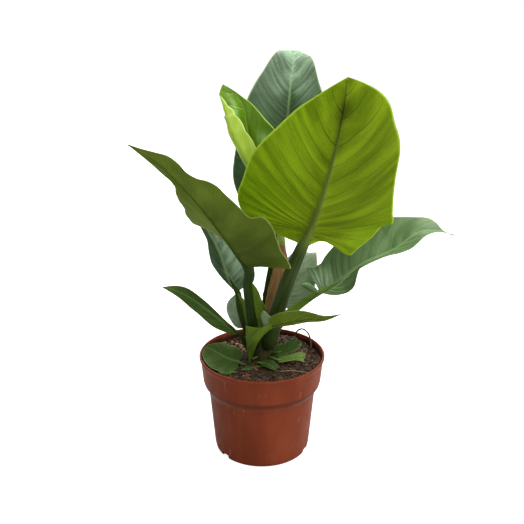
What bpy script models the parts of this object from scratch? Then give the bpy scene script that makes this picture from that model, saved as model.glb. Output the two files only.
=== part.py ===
"""A potted philodendron: a plastic nursery pot, its potting soil, one short stem and its leaves.

Every leaf is one solid that grew in one piece: a blade on its petiole. The petioles clasp the stem
with a hair's gap. All sizes below are millimetres and are scaled to metres when a mesh is made.
The pot stands on its base at the origin, +Z is up and -Y is the front.
"""
import bpy
import numpy as np

MM = 0.001
GAP = 0.3                       # clearance kept between touching pieces

# ---------------------------------------------------------------- driving dimensions, millimetres
POT_HEIGHT = 98.0
RIM_RADIUS = 60.0
COLLAR_RADIUS = 56.5            # foot of the collar
BODY_RADIUS = 51.0              # body just under the collar
BASE_RADIUS = 43.4
COLLAR_DROP = 25.0              # from the rim down to the foot of the collar
WALL = 1.4
FLOOR_TOP = 4.5                 # inside floor
FOOT_RECESS = 3.0               # how far the floor's underside is raised off the ground
CENTRE_FOOT_RADIUS = 13.0
RING_FOOT_RADIUS = 37.5         # inner radius of the ring foot
POT_SEGMENTS = 60
DRAIN_COUNT = 3
DRAIN_WIDTH = 11.0
DRAIN_HEIGHT = 5.2
DRAIN_FIRST_ANGLE = 98.0        # degrees from +X
DRAIN_INSET = 3.0               # how far a notch's cutter passes the ring foot's inner side
DRAIN_OUTSET = 6.0              # and the foot's outer side
DRAIN_BELOW = 2.0               # and the ground

SOIL_LEVEL = 90.5
SOIL_MOUND = 2.0
SOIL_MOUND_RADIUS = 22.0
SOIL_HEAP = 6.0                 # loose soil heaped at the back right
SOIL_HEAP_CENTRE = (25.0, 38.0)
SOIL_HEAP_RADIUS = 12.0
SOIL_WALL_GAP = 0.5             # a little over the usual gap, because both surfaces are faceted
SOIL_TOP_RADIUS = 55.8
SOIL_SHOULDER = 4.0             # how far below its level the soil leaves the wall
SOIL_GRID = (9, 40)             # rings across the top, segments round

BLADE_THICKNESS = 1.2
LARGE_BLADE = 70.0              # midrib length from which a leaf gets the finer grid
BLADE_GRID = {True: (16, 4), False: (8, 3)}     # rows along, columns on each side of the midrib
PETIOLE_GRID = {True: (8, 10), False: (6, 6)}   # sides, rows
MIDRIB_REACH = 0.35             # share of the midrib that the petiole's thick end runs on along
MIDRIB_TAPER = 0.55             # its radius half way along that, as a share of the petiole's
MIDRIB_TIP = 0.9
STEM_GRID = (20, 8)

STEM_PATH = [(0, 2, 62), (0, 2, 92), (0, 3, 108), (1, 5, 124)]
STEM_RADII = [8.5, 9.5, 9.5, 8.5]

# ---------------------------------------------------------------- colours: RGB, roughness
TERRACOTTA = ((0.30, 0.09, 0.045), 0.5)
SOIL = ((0.06, 0.035, 0.022), 0.95)
STEM_GREEN = ((0.05, 0.06, 0.02), 0.6)
LEAF_LIME = ((0.32, 0.50, 0.06), 0.4)
LEAF_BRIGHT = ((0.20, 0.34, 0.02), 0.4)
LEAF_OLIVE = ((0.10, 0.15, 0.03), 0.45)
LEAF_DARK = ((0.04, 0.11, 0.035), 0.4)
LEAF_GREY = ((0.12, 0.20, 0.11), 0.4)
SHEATH_BROWN = ((0.30, 0.16, 0.06), 0.8)
ROOT_BROWN = ((0.07, 0.035, 0.025), 0.8)

# ---------------------------------------------------------------- leaves
# path: petiole, from inside the stem to the blade's joint; radii along it; squash: its depth to width.
# rib: the midrib from joint to tip. up: the way the blade's upper face looks, from joint to tip.
# right, left: each margin as (distance from the midrib, place along it from 0 to 1).
# fold: each half's rise from the midrib in degrees; curl: its further bend out to the span.
# roll: how a rolled left half turns over: the distance from the midrib where the roll starts, its
# degrees a millimetre, both from joint to tip, and the full turn; columns: a finer grid for it.
LEAVES = {
    "leaf_front_large": dict(
        finish=LEAF_BRIGHT,
        path=[(5, -3, 108), (8, -12, 120), (11, -17, 136), (17, -22, 161), (27, -29, 195), (36, -34, 219)],
        radii=(6.2, 7.4, 7.3, 6.8, 6.2, 5.2),
        rib=[(36, -34, 219), (49, -44, 260), (59, -58, 307), (63, -66, 334), (66, -72, 367)],
        up=[(-0.15, 1, 0.15)],
        right=[(0, 0), (12, 0), (27, 0.01), (49, 0.035), (62, 0.08), (67, 0.13), (68, 0.29), (64.5, 0.49),
               (59, 0.57), (51.5, 0.65), (44, 0.73), (34, 0.82), (24, 0.88), (13, 0.94), (0, 1)],
        left=[(0, 0), (11, 0.04), (20, 0.05), (37, 0.025), (50, -0.015), (54, -0.015), (61, 0.09), (67, 0.17),
              (73, 0.18), (78, 0.185), (78, 0.2), (75, 0.235), (69, 0.32), (64, 0.43), (61.5, 0.53), (60, 0.59),
              (56, 0.66), (47, 0.76), (38, 0.87), (28.5, 0.925), (14.5, 0.97), (0, 1)],
        fold=(13, 5), curl=(4, 10), span=(70, 60)),
    "leaf_left_large": dict(
        finish=LEAF_OLIVE,
        path=[(-5, -1, 106), (-10, -8, 116), (-9, -14, 133), (-11, -20, 156), (-13, -28, 179), (-13, -36, 198)],
        radii=(4.0, 5.0, 5.4, 4.8, 4.2, 3.8),
        rib=[(-13, -36, 198), (-33, -42, 230), (-61, -50, 269), (-85, -56, 296), (-108, -62, 313)],
        up=[(0.3, 0.8, 0.6)],
        right=[(0, 0), (8, 0.04), (13, 0.13), (20, 0.21), (33, 0.26), (41, 0.29), (37, 0.35), (32, 0.42),
               (23, 0.48), (19.5, 0.54), (13.5, 0.6), (8, 0.635), (6.5, 0.68), (7.5, 0.74), (6.5, 0.82),
               (4, 0.91), (0, 1)],
        left=[(0, 0), (16, 0.017), (30, 0.005), (43, -0.02), (51, -0.025), (53, 0.03), (52, 0.09), (55, 0.17),
              (58, 0.25), (56, 0.305), (43, 0.33), (39.5, 0.41), (36, 0.5), (35, 0.545), (30, 0.595),
              (22, 0.635), (17.5, 0.69), (18, 0.75), (16.5, 0.81), (11, 0.86), (4.5, 0.925), (0, 1)],
        fold=((55, 12, 0, 0), (-14, -8, 0)), curl=(12, 8), span=(35, 35)),
    "leaf_back_tall": dict(
        finish=LEAF_DARK,
        path=[(2, 9, 118), (5, 12, 150), (13, 17, 195), (20, 22, 236)],
        radii=(4.0, 4.4, 4.4, 4.0),
        rib=[(20, 22, 236), (22, 32, 279), (24, 42, 320), (27, 52, 349), (31, 64, 371), (36, 88, 364)],
        up=[(0, -1, 0.35), (0, -0.9, 0.6), (0, -0.3, 1), (0, 0.4, 1)],
        right=[(0, 0), (15, 0), (34, 0.03), (50, 0.14), (52, 0.33), (43, 0.5), (30, 0.63), (19, 0.78),
               (9, 0.9), (0, 1)],
        left=[(0, 0), (15, -0.04), (34, -0.01), (48, 0.12), (48, 0.31), (39, 0.56), (26, 0.73), (17, 0.84),
              (8, 0.93), (0, 1)],
        fold=((10, 10, 10, 5, -22, -40), (10, 10, 10, 10, -3, -12)), curl=(10, 10), span=(50, 50)),
    "leaf_unfurling": dict(
        finish=LEAF_LIME,
        path=[(1, 1, 120), (8, 1, 148), (16, 0, 182), (18.5, 0, 202), (17, 0, 216)],
        radii=(3.4, 3.6, 3.6, 3.2),
        rib=[(17, 0, 216), (0, -2, 268), (-12, -4, 309), (-17, -6, 336), (-33, -8, 353)],
        up=[(0.1, -1, 0.1)],
        right=[(0, 0), (12, 0.08), (21, 0.22), (26, 0.42), (25, 0.62), (22.5, 0.69), (14.5, 0.76), (8, 0.82),
               (4, 0.87), (2, 0.93), (0, 1)],
        left=[(0, 0), (12, 0.1), (23, 0.3), (28, 0.46), (33, 0.56), (36, 0.66), (34, 0.72), (31.5, 0.78),
              (26, 0.84), (16, 0.9), (8, 0.95), (0, 1)],
        fold=(10, 10), curl=(10, 10), span=(25, 38),
        roll=((2, 2, 2.5, 3, 4, 6.5, 9.5, 14, 19, 12.5, 0), (12, 12, 12, 12, 12, 12, 12, 14, 16, 18, 18), 175),
        columns=9),
    "leaf_left_back": dict(
        finish=LEAF_DARK,
        path=[(-3, 8, 107), (-12, 5, 117), (-17, 3, 131), (-21, 3, 146), (-23, 6, 158)],
        radii=(3.6, 4.0, 4.2, 3.4, 2.8),
        rib=[(-23, 6, 158), (-32, 6, 176), (-40, 8, 199), (-51, 12, 219), (-63, 16, 239)],
        up=[(0.3, -1, 0.3)],
        right=[(0, 0), (8, -0.01), (18, 0.02), (24, 0.14), (27, 0.28), (27, 0.48), (19, 0.75), (8, 0.93), (0, 1)],
        left=[(0, 0), (4, 0.04), (6, 0.17), (9, 0.28), (12, 0.41), (10, 0.52), (6, 0.7), (4, 0.9), (0, 1)],
        fold=(12, 12), curl=(10, 10), span=(25, 15)),
    "leaf_right_long": dict(
        finish=LEAF_DARK,
        path=[(3, 5, 109), (13, 6, 121), (27, 6, 137), (42, 6, 150), (54, 6, 158)],
        radii=(4.2, 4.4, 4.0, 3.4, 2.8),
        rib=[(54, 6, 158), (67, 4, 166), (91, 0, 188), (119, -2, 203), (147, -6, 223), (173, -12, 220)],
        up=[(-0.1, -0.9, 0.75), (0, -0.7, 0.8), (0, -0.4, 1)],
        right=[(0, 0), (5, 0.065), (11.5, 0.12), (16.5, 0.2), (19, 0.27), (15, 0.31), (10.5, 0.33),
               (10.5, 0.37), (10, 0.47), (9, 0.6), (14, 0.7), (13, 0.76), (8, 0.83), (2, 0.9), (0, 1)],
        left=[(0, 0), (3, 0.005), (9, 0), (17, -0.01), (26.5, -0.012), (24, 0.045), (24, 0.09), (27, 0.19),
              (28.5, 0.26), (32, 0.4), (31, 0.55), (26, 0.68), (20.5, 0.73), (15.5, 0.78), (12.5, 0.84),
              (8, 0.88), (2, 0.92), (0, 1)],
        fold=((0, 10, 50, 45, 18, 10, 5), 10), curl=(10, 10), span=(30, 35)),
    "leaf_back_middle": dict(
        finish=LEAF_GREY,
        path=[(1, 9, 107), (7, 16, 121), (20, 21, 138)],
        radii=(3.4, 3.4, 2.6),
        rib=[(20, 21, 138), (29, 27, 156), (38, 36, 174), (44, 50, 182), (50, 66, 171)],
        up=[(0, -1, 0.35), (0, -0.6, 0.8), (0, 0.3, 1)],
        right=[(0, 0), (8, 0), (15, 0.09), (22, 0.26), (18, 0.49), (13, 0.65), (7, 0.85), (0, 1)],
        left=[(0, 0), (11, -0.03), (22, 0), (22, 0.19), (19, 0.43), (13, 0.64), (6, 0.85), (0, 1)],
        fold=(8, 8), curl=(10, 10), span=(22, 22)),
    "leaf_left_low": dict(
        finish=LEAF_DARK,
        path=[(-6, 0, 99), (-13, -5, 106), (-22, -9, 123)],
        radii=(2.6, 2.4, 2.0),
        rib=[(-22, -9, 123), (-37, -13, 137), (-57, -18, 156), (-73, -22, 169), (-90, -26, 176)],
        up=[(0, -0.8, 0.8)],
        right=[(0, 0), (3, 0.06), (5, 0.15), (7, 0.35), (8, 0.55), (7, 0.75), (0, 1)],
        left=[(0, 0), (4, 0.04), (10, 0.2), (13, 0.38), (11, 0.6), (7, 0.82), (0, 1)],
        fold=(6, 6), curl=(10, 10), span=(12, 12)),
    "leaf_left_small": dict(
        finish=LEAF_GREY,
        path=[(-3, 9, 99), (-11, 15, 107), (-17, 16, 117)],
        radii=(2.2, 2.0, 1.6),
        rib=[(-17, 16, 117), (-24, 15, 129), (-28, 15, 141), (-25, 17, 152)],
        up=[(0, -1, 0.3)],
        right=[(0, 0), (5, 0.1), (8, 0.4), (7, 0.7), (0, 1)],
        left=[(0, 0), (5, 0.1), (7, 0.4), (6, 0.7), (0, 1)],
        fold=(5, 5), curl=(10, 10), span=(9, 9)),
    "leaf_front_small": dict(
        finish=LEAF_OLIVE,
        path=[(-4, -4, 96), (-11, -14, 99), (-10, -21, 112), (-6, -28, 126), (2, -31, 136), (9, -33, 142)],
        radii=(2.2, 2.4, 3.6, 4.6, 4.2, 2.6), squash=0.5,
        rib=[(9, -33, 142), (21, -37, 146), (38, -41, 151), (53, -45, 153), (70, -49, 160)],
        up=[(0, 0.8, 0.7)],
        right=[(0, 0), (8, 0), (14, 0.15), (14, 0.4), (9, 0.65), (4, 0.8), (0, 1)],
        left=[(0, 0), (10, 0), (14, 0.2), (14, 0.4), (9, 0.65), (5, 0.8), (0, 1)],
        fold=(6, 6), curl=(10, 10), span=(10, 10)),
    "leaf_soil_round": dict(
        finish=LEAF_DARK,
        path=[(-15, -14, 92.9), (-19, -15, 93.8), (-23, -14, 96)],
        radii=(1.2, 1.4, 1.4),
        rib=[(-23, -14, 96), (-33, -12, 99), (-43, -8, 101), (-57, -4, 104)],
        up=[(0, -0.35, 1)],
        right=[(0, 0), (8, -0.08), (13, 0.03), (15, 0.22), (12, 0.52), (8, 0.8), (0, 1)],
        left=[(0, 0), (7, 0), (14, 0.2), (17, 0.5), (15, 0.75), (9, 0.93), (0, 1)],
        fold=(5, 5), curl=(10, 10), span=(16, 16)),
    "leaf_soil_under": dict(
        finish=LEAF_DARK,
        path=[(-23, -28, 91.9), (-26, -28.5, 92.0), (-29, -29, 92.1)],
        radii=(0.9, 0.9, 0.8),
        rib=[(-29, -29, 92.1), (-35, -29, 92.2), (-41, -27, 92.4)],
        up=[(0, -0.1, 1)],
        right=[(0, 0), (3, 0.2), (4, 0.5), (0, 1)],
        left=[(0, 0), (3, 0.2), (4, 0.5), (0, 1)],
        fold=(4, 4), curl=(8, 8), span=(5, 5)),
    "leaf_soil_front": dict(
        finish=LEAF_DARK,
        path=[(-5, -12, 93.4), (-3.5, -12.6, 93.9), (-2, -13, 94.3)],
        radii=(1.2, 1.3, 1.2),
        rib=[(-2, -13, 94.3), (4, -16, 94.8), (9, -20, 94.4), (12, -26, 92.6)],
        up=[(0.2, -0.2, 1)],
        right=[(0, 0), (4, 0.1), (7, 0.4), (6, 0.7), (0, 1)],
        left=[(0, 0), (4, 0.1), (7, 0.4), (6, 0.7), (0, 1)],
        fold=(4, 4), curl=(8, 8), span=(8, 8)),
    "leaf_soil_narrow": dict(
        finish=LEAF_DARK,
        path=[(-1, -19, 92.8), (-3, -19.5, 93.2), (-6, -20, 93.2)],
        radii=(1.0, 1.0, 0.9),
        rib=[(-6, -20, 93.2), (-13, -22, 92.8), (-20, -24, 92.4)],
        up=[(0, -0.2, 1)],
        right=[(0, 0), (2.5, 0.2), (3, 0.5), (0, 1)],
        left=[(0, 0), (2.5, 0.2), (3, 0.5), (0, 1)],
        fold=(4, 4), curl=(8, 8), span=(4, 4)),
    "leaf_stub_upper": dict(
        finish=LEAF_OLIVE,
        path=[(5, 1, 96), (9, -1, 98), (14, -2, 99.5)],
        radii=(1.8, 2.0, 1.8),
        rib=[(14, -2, 99.5), (22, 0, 101), (29, 3, 103), (36, 7, 106)],
        up=[(0, -0.5, 1)],
        right=[(0, 0), (4, 0.15), (6, 0.5), (6, 0.95), (0, 1)],
        left=[(0, 0), (3, 0.15), (4, 0.5), (4, 0.95), (0, 1)],
        fold=(20, 20), curl=(10, 10), span=(6, 6)),
    "leaf_stub_lower": dict(
        finish=LEAF_BRIGHT,
        path=[(5, -2, 95), (10, -7, 96), (16, -10, 95.5)],
        radii=(1.4, 1.5, 1.4),
        rib=[(16, -10, 95.5), (25, -9, 96.5), (33, -8, 97), (41, -8, 96)],
        up=[(0, -0.4, 1)],
        right=[(0, 0), (3, 0.15), (4, 0.5), (4, 0.95), (0, 1)],
        left=[(0, 0), (3, 0.15), (5, 0.5), (6, 0.95), (0, 1)],
        fold=(15, 15), curl=(10, 10), span=(6, 6)),
}

NO_ROLL = (1000.0, 1.0, 1.0)    # a roll that starts beyond every margin

CATAPHYLL_RADII = [4.9, 7.0, 7.0, 6.0]
CATAPHYLL_SPAN = (0.2, 0.93)    # where it lies along the petiole
CATAPHYLL_WALL = 0.9
CATAPHYLL_ARC = (10, 170)       # degrees round the petiole it wraps, open at the back
CATAPHYLL_NARROWING = 0.75      # share of that arc it has lost at its top
CATAPHYLL_GRID = (10, 10)

AERIAL_ROOT = [(33, 39, 98.2), (36, 37, 105), (41, 33, 108), (46, 30, 104), (48, 26, 97), (48, 23, 91.2)]
AERIAL_ROOT_RADIUS = 0.9
AERIAL_ROOT_GRID = (8, 14)      # sides, rows
SOIL_FIBRE = [(17, -29, 93.0), (26, -28, 93.4), (35, -28, 92.6), (43, -29, 91.8)]
SOIL_FIBRE_RADIUS = 0.6
SOIL_FIBRE_GRID = (6, 10)
DRY_SCRAP = [(-9, -33, 91.8), (-14, -36, 92.2), (-19, -38, 91.7)]
DRY_SCRAP_RADII = [0.7, 1.2, 0.6]
DRY_SCRAP_GRID = (8, 6)


# ---------------------------------------------------------------- curves and frames
def unit(vectors):
    """Vectors scaled to length one."""
    return vectors / np.linalg.norm(vectors, axis=-1, keepdims=True)


def smooth_curve(points, places):
    """Points and tangents of a smooth curve through the given points, at places 0 to 1 along it."""
    points = np.asarray(points, float)
    places = np.asarray(places, float)
    knots = np.concatenate([[0.0], np.cumsum(np.linalg.norm(np.diff(points, axis=0), axis=1))])
    knots /= knots[-1]
    steps = np.diff(knots)[:, None]
    slopes = np.diff(points, axis=0) / steps
    tangents = np.empty_like(points)
    tangents[1:-1] = (slopes[:-1] * steps[1:] + slopes[1:] * steps[:-1]) / (steps[1:] + steps[:-1])
    tangents[0] = 1.5 * slopes[0] - 0.5 * tangents[1]
    tangents[-1] = 1.5 * slopes[-1] - 0.5 * tangents[-2]
    index = np.clip(np.searchsorted(knots, places, side="right") - 1, 0, len(points) - 2)
    step = steps[index]
    u = (places - knots[index])[:, None] / step
    start, end = points[index], points[index + 1]
    leave, arrive = tangents[index] * step, tangents[index + 1] * step
    position = start + u * leave + u**2 * (3 * (end - start) - 2 * leave - arrive)
    position += u**3 * (2 * (start - end) + leave + arrive)
    direction = leave + 2 * u * (3 * (end - start) - 2 * leave - arrive)
    direction += 3 * u**2 * (2 * (start - end) + leave + arrive)
    return position, unit(direction)


def curve_length(points):
    """Length of the smooth curve through the points."""
    samples = smooth_curve(points, np.linspace(0, 1, 60))[0]
    return np.linalg.norm(np.diff(samples, axis=0), axis=1).sum()


def spread(values, places):
    """A value, or a row of values evenly spaced along 0 to 1, read at the given places."""
    values = np.atleast_1d(np.asarray(values, float))
    return np.interp(places, np.linspace(0, 1, len(values)), values)


# ---------------------------------------------------------------- meshes
def make_material(name, finish):
    """A Principled material with the finish's colour and roughness."""
    colour, roughness = finish
    material = bpy.data.materials.new(name)
    material.use_nodes = True
    shader = material.node_tree.nodes["Principled BSDF"]
    shader.inputs["Base Color"].default_value = (*colour, 1.0)
    shader.inputs["Roughness"].default_value = roughness
    material.diffuse_color = (*colour, 1.0)
    return material


def make_object(name, vertices, faces, finish, smooth_angle=50.0):
    """An object from vertices in millimetres and faces, shaded smooth but for sharp edges."""
    mesh = bpy.data.meshes.new(name)
    mesh.from_pydata([tuple(v) for v in np.asarray(vertices) * MM], [], [tuple(f) for f in faces])
    mesh.validate()
    mesh.update()
    mesh.shade_smooth()
    mesh.set_sharp_from_angle(angle=np.radians(smooth_angle))
    mesh.materials.append(make_material(name, finish))
    thing = bpy.data.objects.new(name, mesh)
    bpy.context.collection.objects.link(thing)
    return thing


def make_cutter(name, vertices, faces, finish):
    """A guide for a Boolean, left out of the build."""
    cutter = make_object(name, vertices, faces, finish)
    cutter.hide_render = True
    cutter.display_type = "WIRE"
    return cutter


def combine(target, other, operation):
    """Boolean the other object into the target."""
    modifier = target.modifiers.new(operation.lower(), "BOOLEAN")
    modifier.operation = operation
    modifier.solver = "EXACT"
    modifier.object = other


def tube(points, radii, sides, rows, squash=1.0):
    """A closed tube round a smooth path: rings of the given radii, squashed across, with flat ends."""
    places = np.linspace(0, 1, rows + 1)
    centre, along = smooth_curve(points, places)
    radius = spread(radii, places)[:, None, None]
    side = unit(np.cross(along, (0.0, 1.0, 0.0)))
    across = np.cross(side, along)
    turn = np.linspace(0, 2 * np.pi, sides, endpoint=False)[None, :, None]
    rings = centre[:, None] + radius * (side[:, None] * np.cos(turn) + across[:, None] * np.sin(turn) * squash)
    vertices = rings.reshape(-1, 3)
    faces = []
    for row in range(rows):
        for k in range(sides):
            a, b = row * sides + k, row * sides + (k + 1) % sides
            faces.append((a, a + sides, b + sides, b))
    faces.append(tuple(range(sides)))
    faces.append(tuple(range(rows * sides, (rows + 1) * sides))[::-1])
    return vertices, faces


def blade_point(leaf, x, y, lift):
    """Place blade coordinates in space.

    x is the distance from the midrib, y the place along it, lift the height over the middle surface.
    The midrib is a smooth curve, run straight on behind the joint. Across it each half leaves at the
    fold angle and bends on as a circular arc, which reaches the curl angle at the span. A rolled left
    half turns over past its roll's start, by so many degrees a millimetre up to the roll's full turn,
    and runs straight from there.
    """
    length = curve_length(leaf["rib"])
    inside = np.clip(y, 0, 1)
    rib, along = smooth_curve(leaf["rib"], inside)
    rib = rib + along * (np.minimum(y, 0) * length)[:, None]
    up = unit(np.asarray(leaf["up"], float))
    up = np.stack([spread(up[:, k], inside) for k in range(3)], axis=-1)
    normal = unit(up - (up * along).sum(-1, keepdims=True) * along)
    side = np.cross(along, normal)
    is_right = x >= 0
    fold = np.radians(np.where(is_right, *(spread(f, inside) for f in leaf["fold"])))
    curl = np.radians(np.where(is_right, *(spread(c, inside) for c in leaf["curl"])))
    bend = curl / np.where(is_right, *leaf["span"])
    starts, rates, full = leaf.get("roll", NO_ROLL)
    start = np.where(is_right, NO_ROLL[0], spread(starts, inside))
    rate = np.radians(spread(rates, inside))
    flat = np.minimum(np.abs(x), start)
    turned_over = np.clip(np.abs(x) - start, 0, np.radians(full) / rate)
    beyond = np.abs(x) - flat - turned_over
    leaves = fold + bend * flat
    angle = leaves + rate * turned_over
    reach = (np.sin(leaves) - np.sin(fold)) / bend + (np.sin(angle) - np.sin(leaves)) / rate
    rise = (np.cos(fold) - np.cos(leaves)) / bend + (np.cos(leaves) - np.cos(angle)) / rate
    reach = np.sign(x) * (reach + beyond * np.cos(angle))
    rise = rise + beyond * np.sin(angle)
    reach = reach - np.sign(x) * lift * np.sin(angle)
    rise = rise + lift * np.cos(angle)
    return rib + side * reach[:, None] + normal * rise[:, None]


def blade(leaf):
    """A closed thin blade: an upper and a lower sheet joined round the margin.

    The grid follows the veins: each row runs from the midrib forward and out to the margin.
    """
    length = curve_length(leaf["rib"])
    row_count, column_count = BLADE_GRID[bool(length >= LARGE_BLADE)]
    column_count = leaf.get("columns", column_count)
    rows = np.linspace(0, 1, row_count + 1)[1:-1]
    out = np.linspace(0, 1, column_count + 1)
    leave = rows**1.35
    halves = []
    for name, sign in (("left", -1), ("right", 1)):
        margin = smooth_curve(np.asarray(leaf[name], float) * (1, length), rows)[0] / (1, length)
        x = sign * np.maximum(margin[:, :1], 0.5) * out
        y = leave[:, None] + (margin[:, 1:] - leave[:, None]) * out**1.5
        halves.append((x, y))
    x = np.hstack([halves[0][0][:, ::-1], halves[1][0][:, 1:]])
    y = np.hstack([halves[0][1][:, ::-1], halves[1][1][:, 1:]])
    columns = x.shape[1]
    count = x.size
    flat_x = np.concatenate([x.ravel(), [0.0, 0.0]])
    flat_y = np.concatenate([y.ravel(), [0.0, 1.0]])
    half = BLADE_THICKNESS / 2
    vertices = np.vstack([blade_point(leaf, flat_x, flat_y, half), blade_point(leaf, flat_x, flat_y, -half)])
    lower = count + 2
    joint, tip = count, count + 1
    faces = []
    for row in range(len(rows) - 1):
        for k in range(columns - 1):
            a = row * columns + k
            quad = (a, a + 1, a + columns + 1, a + columns)
            faces.append(quad)
            faces.append(tuple(v + lower for v in quad[::-1]))
    last = (len(rows) - 1) * columns
    for k in range(columns - 1):
        for fan in ((joint, k + 1, k), (tip, last + k, last + k + 1)):
            faces.append(fan)
            faces.append(tuple(v + lower for v in fan[::-1]))
    right = [row * columns + columns - 1 for row in range(len(rows))]
    left = [row * columns for row in range(len(rows))]
    loop = [joint] + right + [tip] + left[::-1]
    for k, a in enumerate(loop):
        b = loop[(k + 1) % len(loop)]
        faces.append((b, a, a + lower, b + lower))
    return vertices, faces


def turned(profile, segments):
    """A closed surface of revolution round +Z from a profile that starts and ends on the axis."""
    inner = profile[1:-1]
    turn = np.linspace(0, 2 * np.pi, segments, endpoint=False)
    vertices = [(r * np.cos(t), r * np.sin(t), z) for r, z in inner for t in turn]
    first, last = len(vertices), len(vertices) + 1
    vertices += [(0, 0, profile[0][1]), (0, 0, profile[-1][1])]
    faces = []
    for k in range(segments):
        n = (k + 1) % segments
        faces.append((first, n, k))
        for ring in range(len(inner) - 1):
            a, b = ring * segments, (ring + 1) * segments
            faces.append((a + k, a + n, b + n, b + k))
        end = (len(inner) - 1) * segments
        faces.append((end + k, end + n, last))
    return vertices, faces


def box(centre, size, angle):
    """A box with its length along a direction turned by the angle from +X, in degrees."""
    c, s = np.cos(np.radians(angle)), np.sin(np.radians(angle))
    corners = [(x, y, z) for x in (-0.5, 0.5) for y in (-0.5, 0.5) for z in (-0.5, 0.5)]
    vertices = []
    for x, y, z in corners:
        u, v = x * size[0], y * size[1]
        vertices.append((centre[0] + c * u - s * v, centre[1] + s * u + c * v, centre[2] + z * size[2]))
    faces = [(0, 1, 3, 2), (4, 6, 7, 5), (0, 4, 5, 1), (2, 3, 7, 6), (0, 2, 6, 4), (1, 5, 7, 3)]
    return vertices, faces


# ---------------------------------------------------------------- pot and soil
def pot_outer_profile():
    """The outside from the foot up to the lip: radius and height."""
    collar_foot = POT_HEIGHT - COLLAR_DROP
    return [(BASE_RADIUS, 0), (BASE_RADIUS + 1.6, 1.6), (BASE_RADIUS + 2.6, 6),
            (BODY_RADIUS, collar_foot - 12), (BODY_RADIUS + 0.9, collar_foot - 9),
            (COLLAR_RADIUS - 1.0, collar_foot - 3.5), (COLLAR_RADIUS, collar_foot),
            (RIM_RADIUS - 1.6, POT_HEIGHT - 6), (RIM_RADIUS, POT_HEIGHT - 1.5), (RIM_RADIUS - 0.4, POT_HEIGHT)]


def pot_inner_profile():
    """The inside from the lip down to the floor, one wall inside the outer face."""
    outer = pot_outer_profile()
    inner = [(RIM_RADIUS - 2.0, POT_HEIGHT)]
    inner += [(r - WALL, z) for r, z in outer[7:2:-1]]
    inner.append((BASE_RADIUS + 2.6 - WALL, 8.0))
    inner.append((BASE_RADIUS - 0.2, FLOOR_TOP))
    return inner


def build_pot():
    """Thin-walled pot: collar, tapered body, raised floor on a centre foot and a ring foot, drain notches."""
    underside = [(0, 0), (CENTRE_FOOT_RADIUS, 0), (CENTRE_FOOT_RADIUS + 1, FOOT_RECESS),
                 (RING_FOOT_RADIUS - 1, FOOT_RECESS), (RING_FOOT_RADIUS, 0)]
    profile = underside + pot_outer_profile() + pot_inner_profile() + [(0, FLOOR_TOP)]
    pot = make_object("pot", *turned(profile, POT_SEGMENTS), TERRACOTTA)
    for k in range(DRAIN_COUNT):
        angle = DRAIN_FIRST_ANGLE + 360 / DRAIN_COUNT * k
        inner, outer = RING_FOOT_RADIUS - DRAIN_INSET, BASE_RADIUS + DRAIN_OUTSET
        reach = (inner + outer) / 2
        height = (DRAIN_HEIGHT - DRAIN_BELOW) / 2
        centre = (reach * np.cos(np.radians(angle)), reach * np.sin(np.radians(angle)), height)
        size = (outer - inner, DRAIN_WIDTH, DRAIN_HEIGHT + DRAIN_BELOW)
        cutter = make_cutter("drain_cutter_%d" % (k + 1), *box(centre, size, angle), TERRACOTTA)
        combine(pot, cutter, "DIFFERENCE")


def soil_height(x, y):
    """Height of the soil: level, with a low mound at the stem and a loose heap at the back right."""
    mound = SOIL_MOUND * np.exp(-(x**2 + y**2) / SOIL_MOUND_RADIUS**2)
    heap_x, heap_y = x - SOIL_HEAP_CENTRE[0], y - SOIL_HEAP_CENTRE[1]
    return SOIL_LEVEL + mound + SOIL_HEAP * np.exp(-(heap_x**2 + heap_y**2) / SOIL_HEAP_RADIUS**2)


def build_soil(stem_clearance):
    """The moulded root ball: it fills the pot to below the rim, and the stem stands in it."""
    rings, segments = SOIL_GRID
    walls = [(r - SOIL_WALL_GAP, max(z, FLOOR_TOP + GAP)) for r, z in pot_inner_profile()[:0:-1]]
    walls = [(r, z) for r, z in walls if z < SOIL_LEVEL - SOIL_SHOULDER]
    turn = np.linspace(0, 2 * np.pi, segments, endpoint=False)
    vertices = [(0, 0, FLOOR_TOP + GAP)]
    vertices += [(r * np.cos(t), r * np.sin(t), z) for r, z in walls for t in turn]
    for k in range(rings):
        r = SOIL_TOP_RADIUS * (1 - k / rings)
        x, y = r * np.cos(turn), r * np.sin(turn)
        vertices += list(zip(x, y, soil_height(x, y)))
    vertices.append((0, 0, float(soil_height(0.0, 0.0))))
    count = len(walls) + rings
    last = len(vertices) - 1
    faces = []
    for k in range(segments):
        n = (k + 1) % segments
        faces.append((0, 1 + n, 1 + k))
        for ring in range(count - 1):
            a, b = 1 + ring * segments, 1 + (ring + 1) * segments
            faces.append((a + k, a + n, b + n, b + k))
        end = 1 + (count - 1) * segments
        faces.append((end + k, end + n, last))
    soil = make_object("potting_soil", vertices, faces, SOIL)
    combine(soil, stem_clearance, "DIFFERENCE")


# ---------------------------------------------------------------- the plant
def build_stem():
    """The short fleshy stem, with its lower end in the soil, and the clearance its neighbours keep."""
    make_object("stem", *tube(STEM_PATH, STEM_RADII, *STEM_GRID), STEM_GREEN)
    low, high = STEM_PATH[0], STEM_PATH[-1]
    path = [(low[0], low[1], low[2] - GAP)] + STEM_PATH[1:-1] + [(high[0], high[1], high[2] + GAP)]
    radii = [r + GAP for r in STEM_RADII]
    return make_cutter("stem_clearance", *tube(path, radii, *STEM_GRID), STEM_GREEN)


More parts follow.
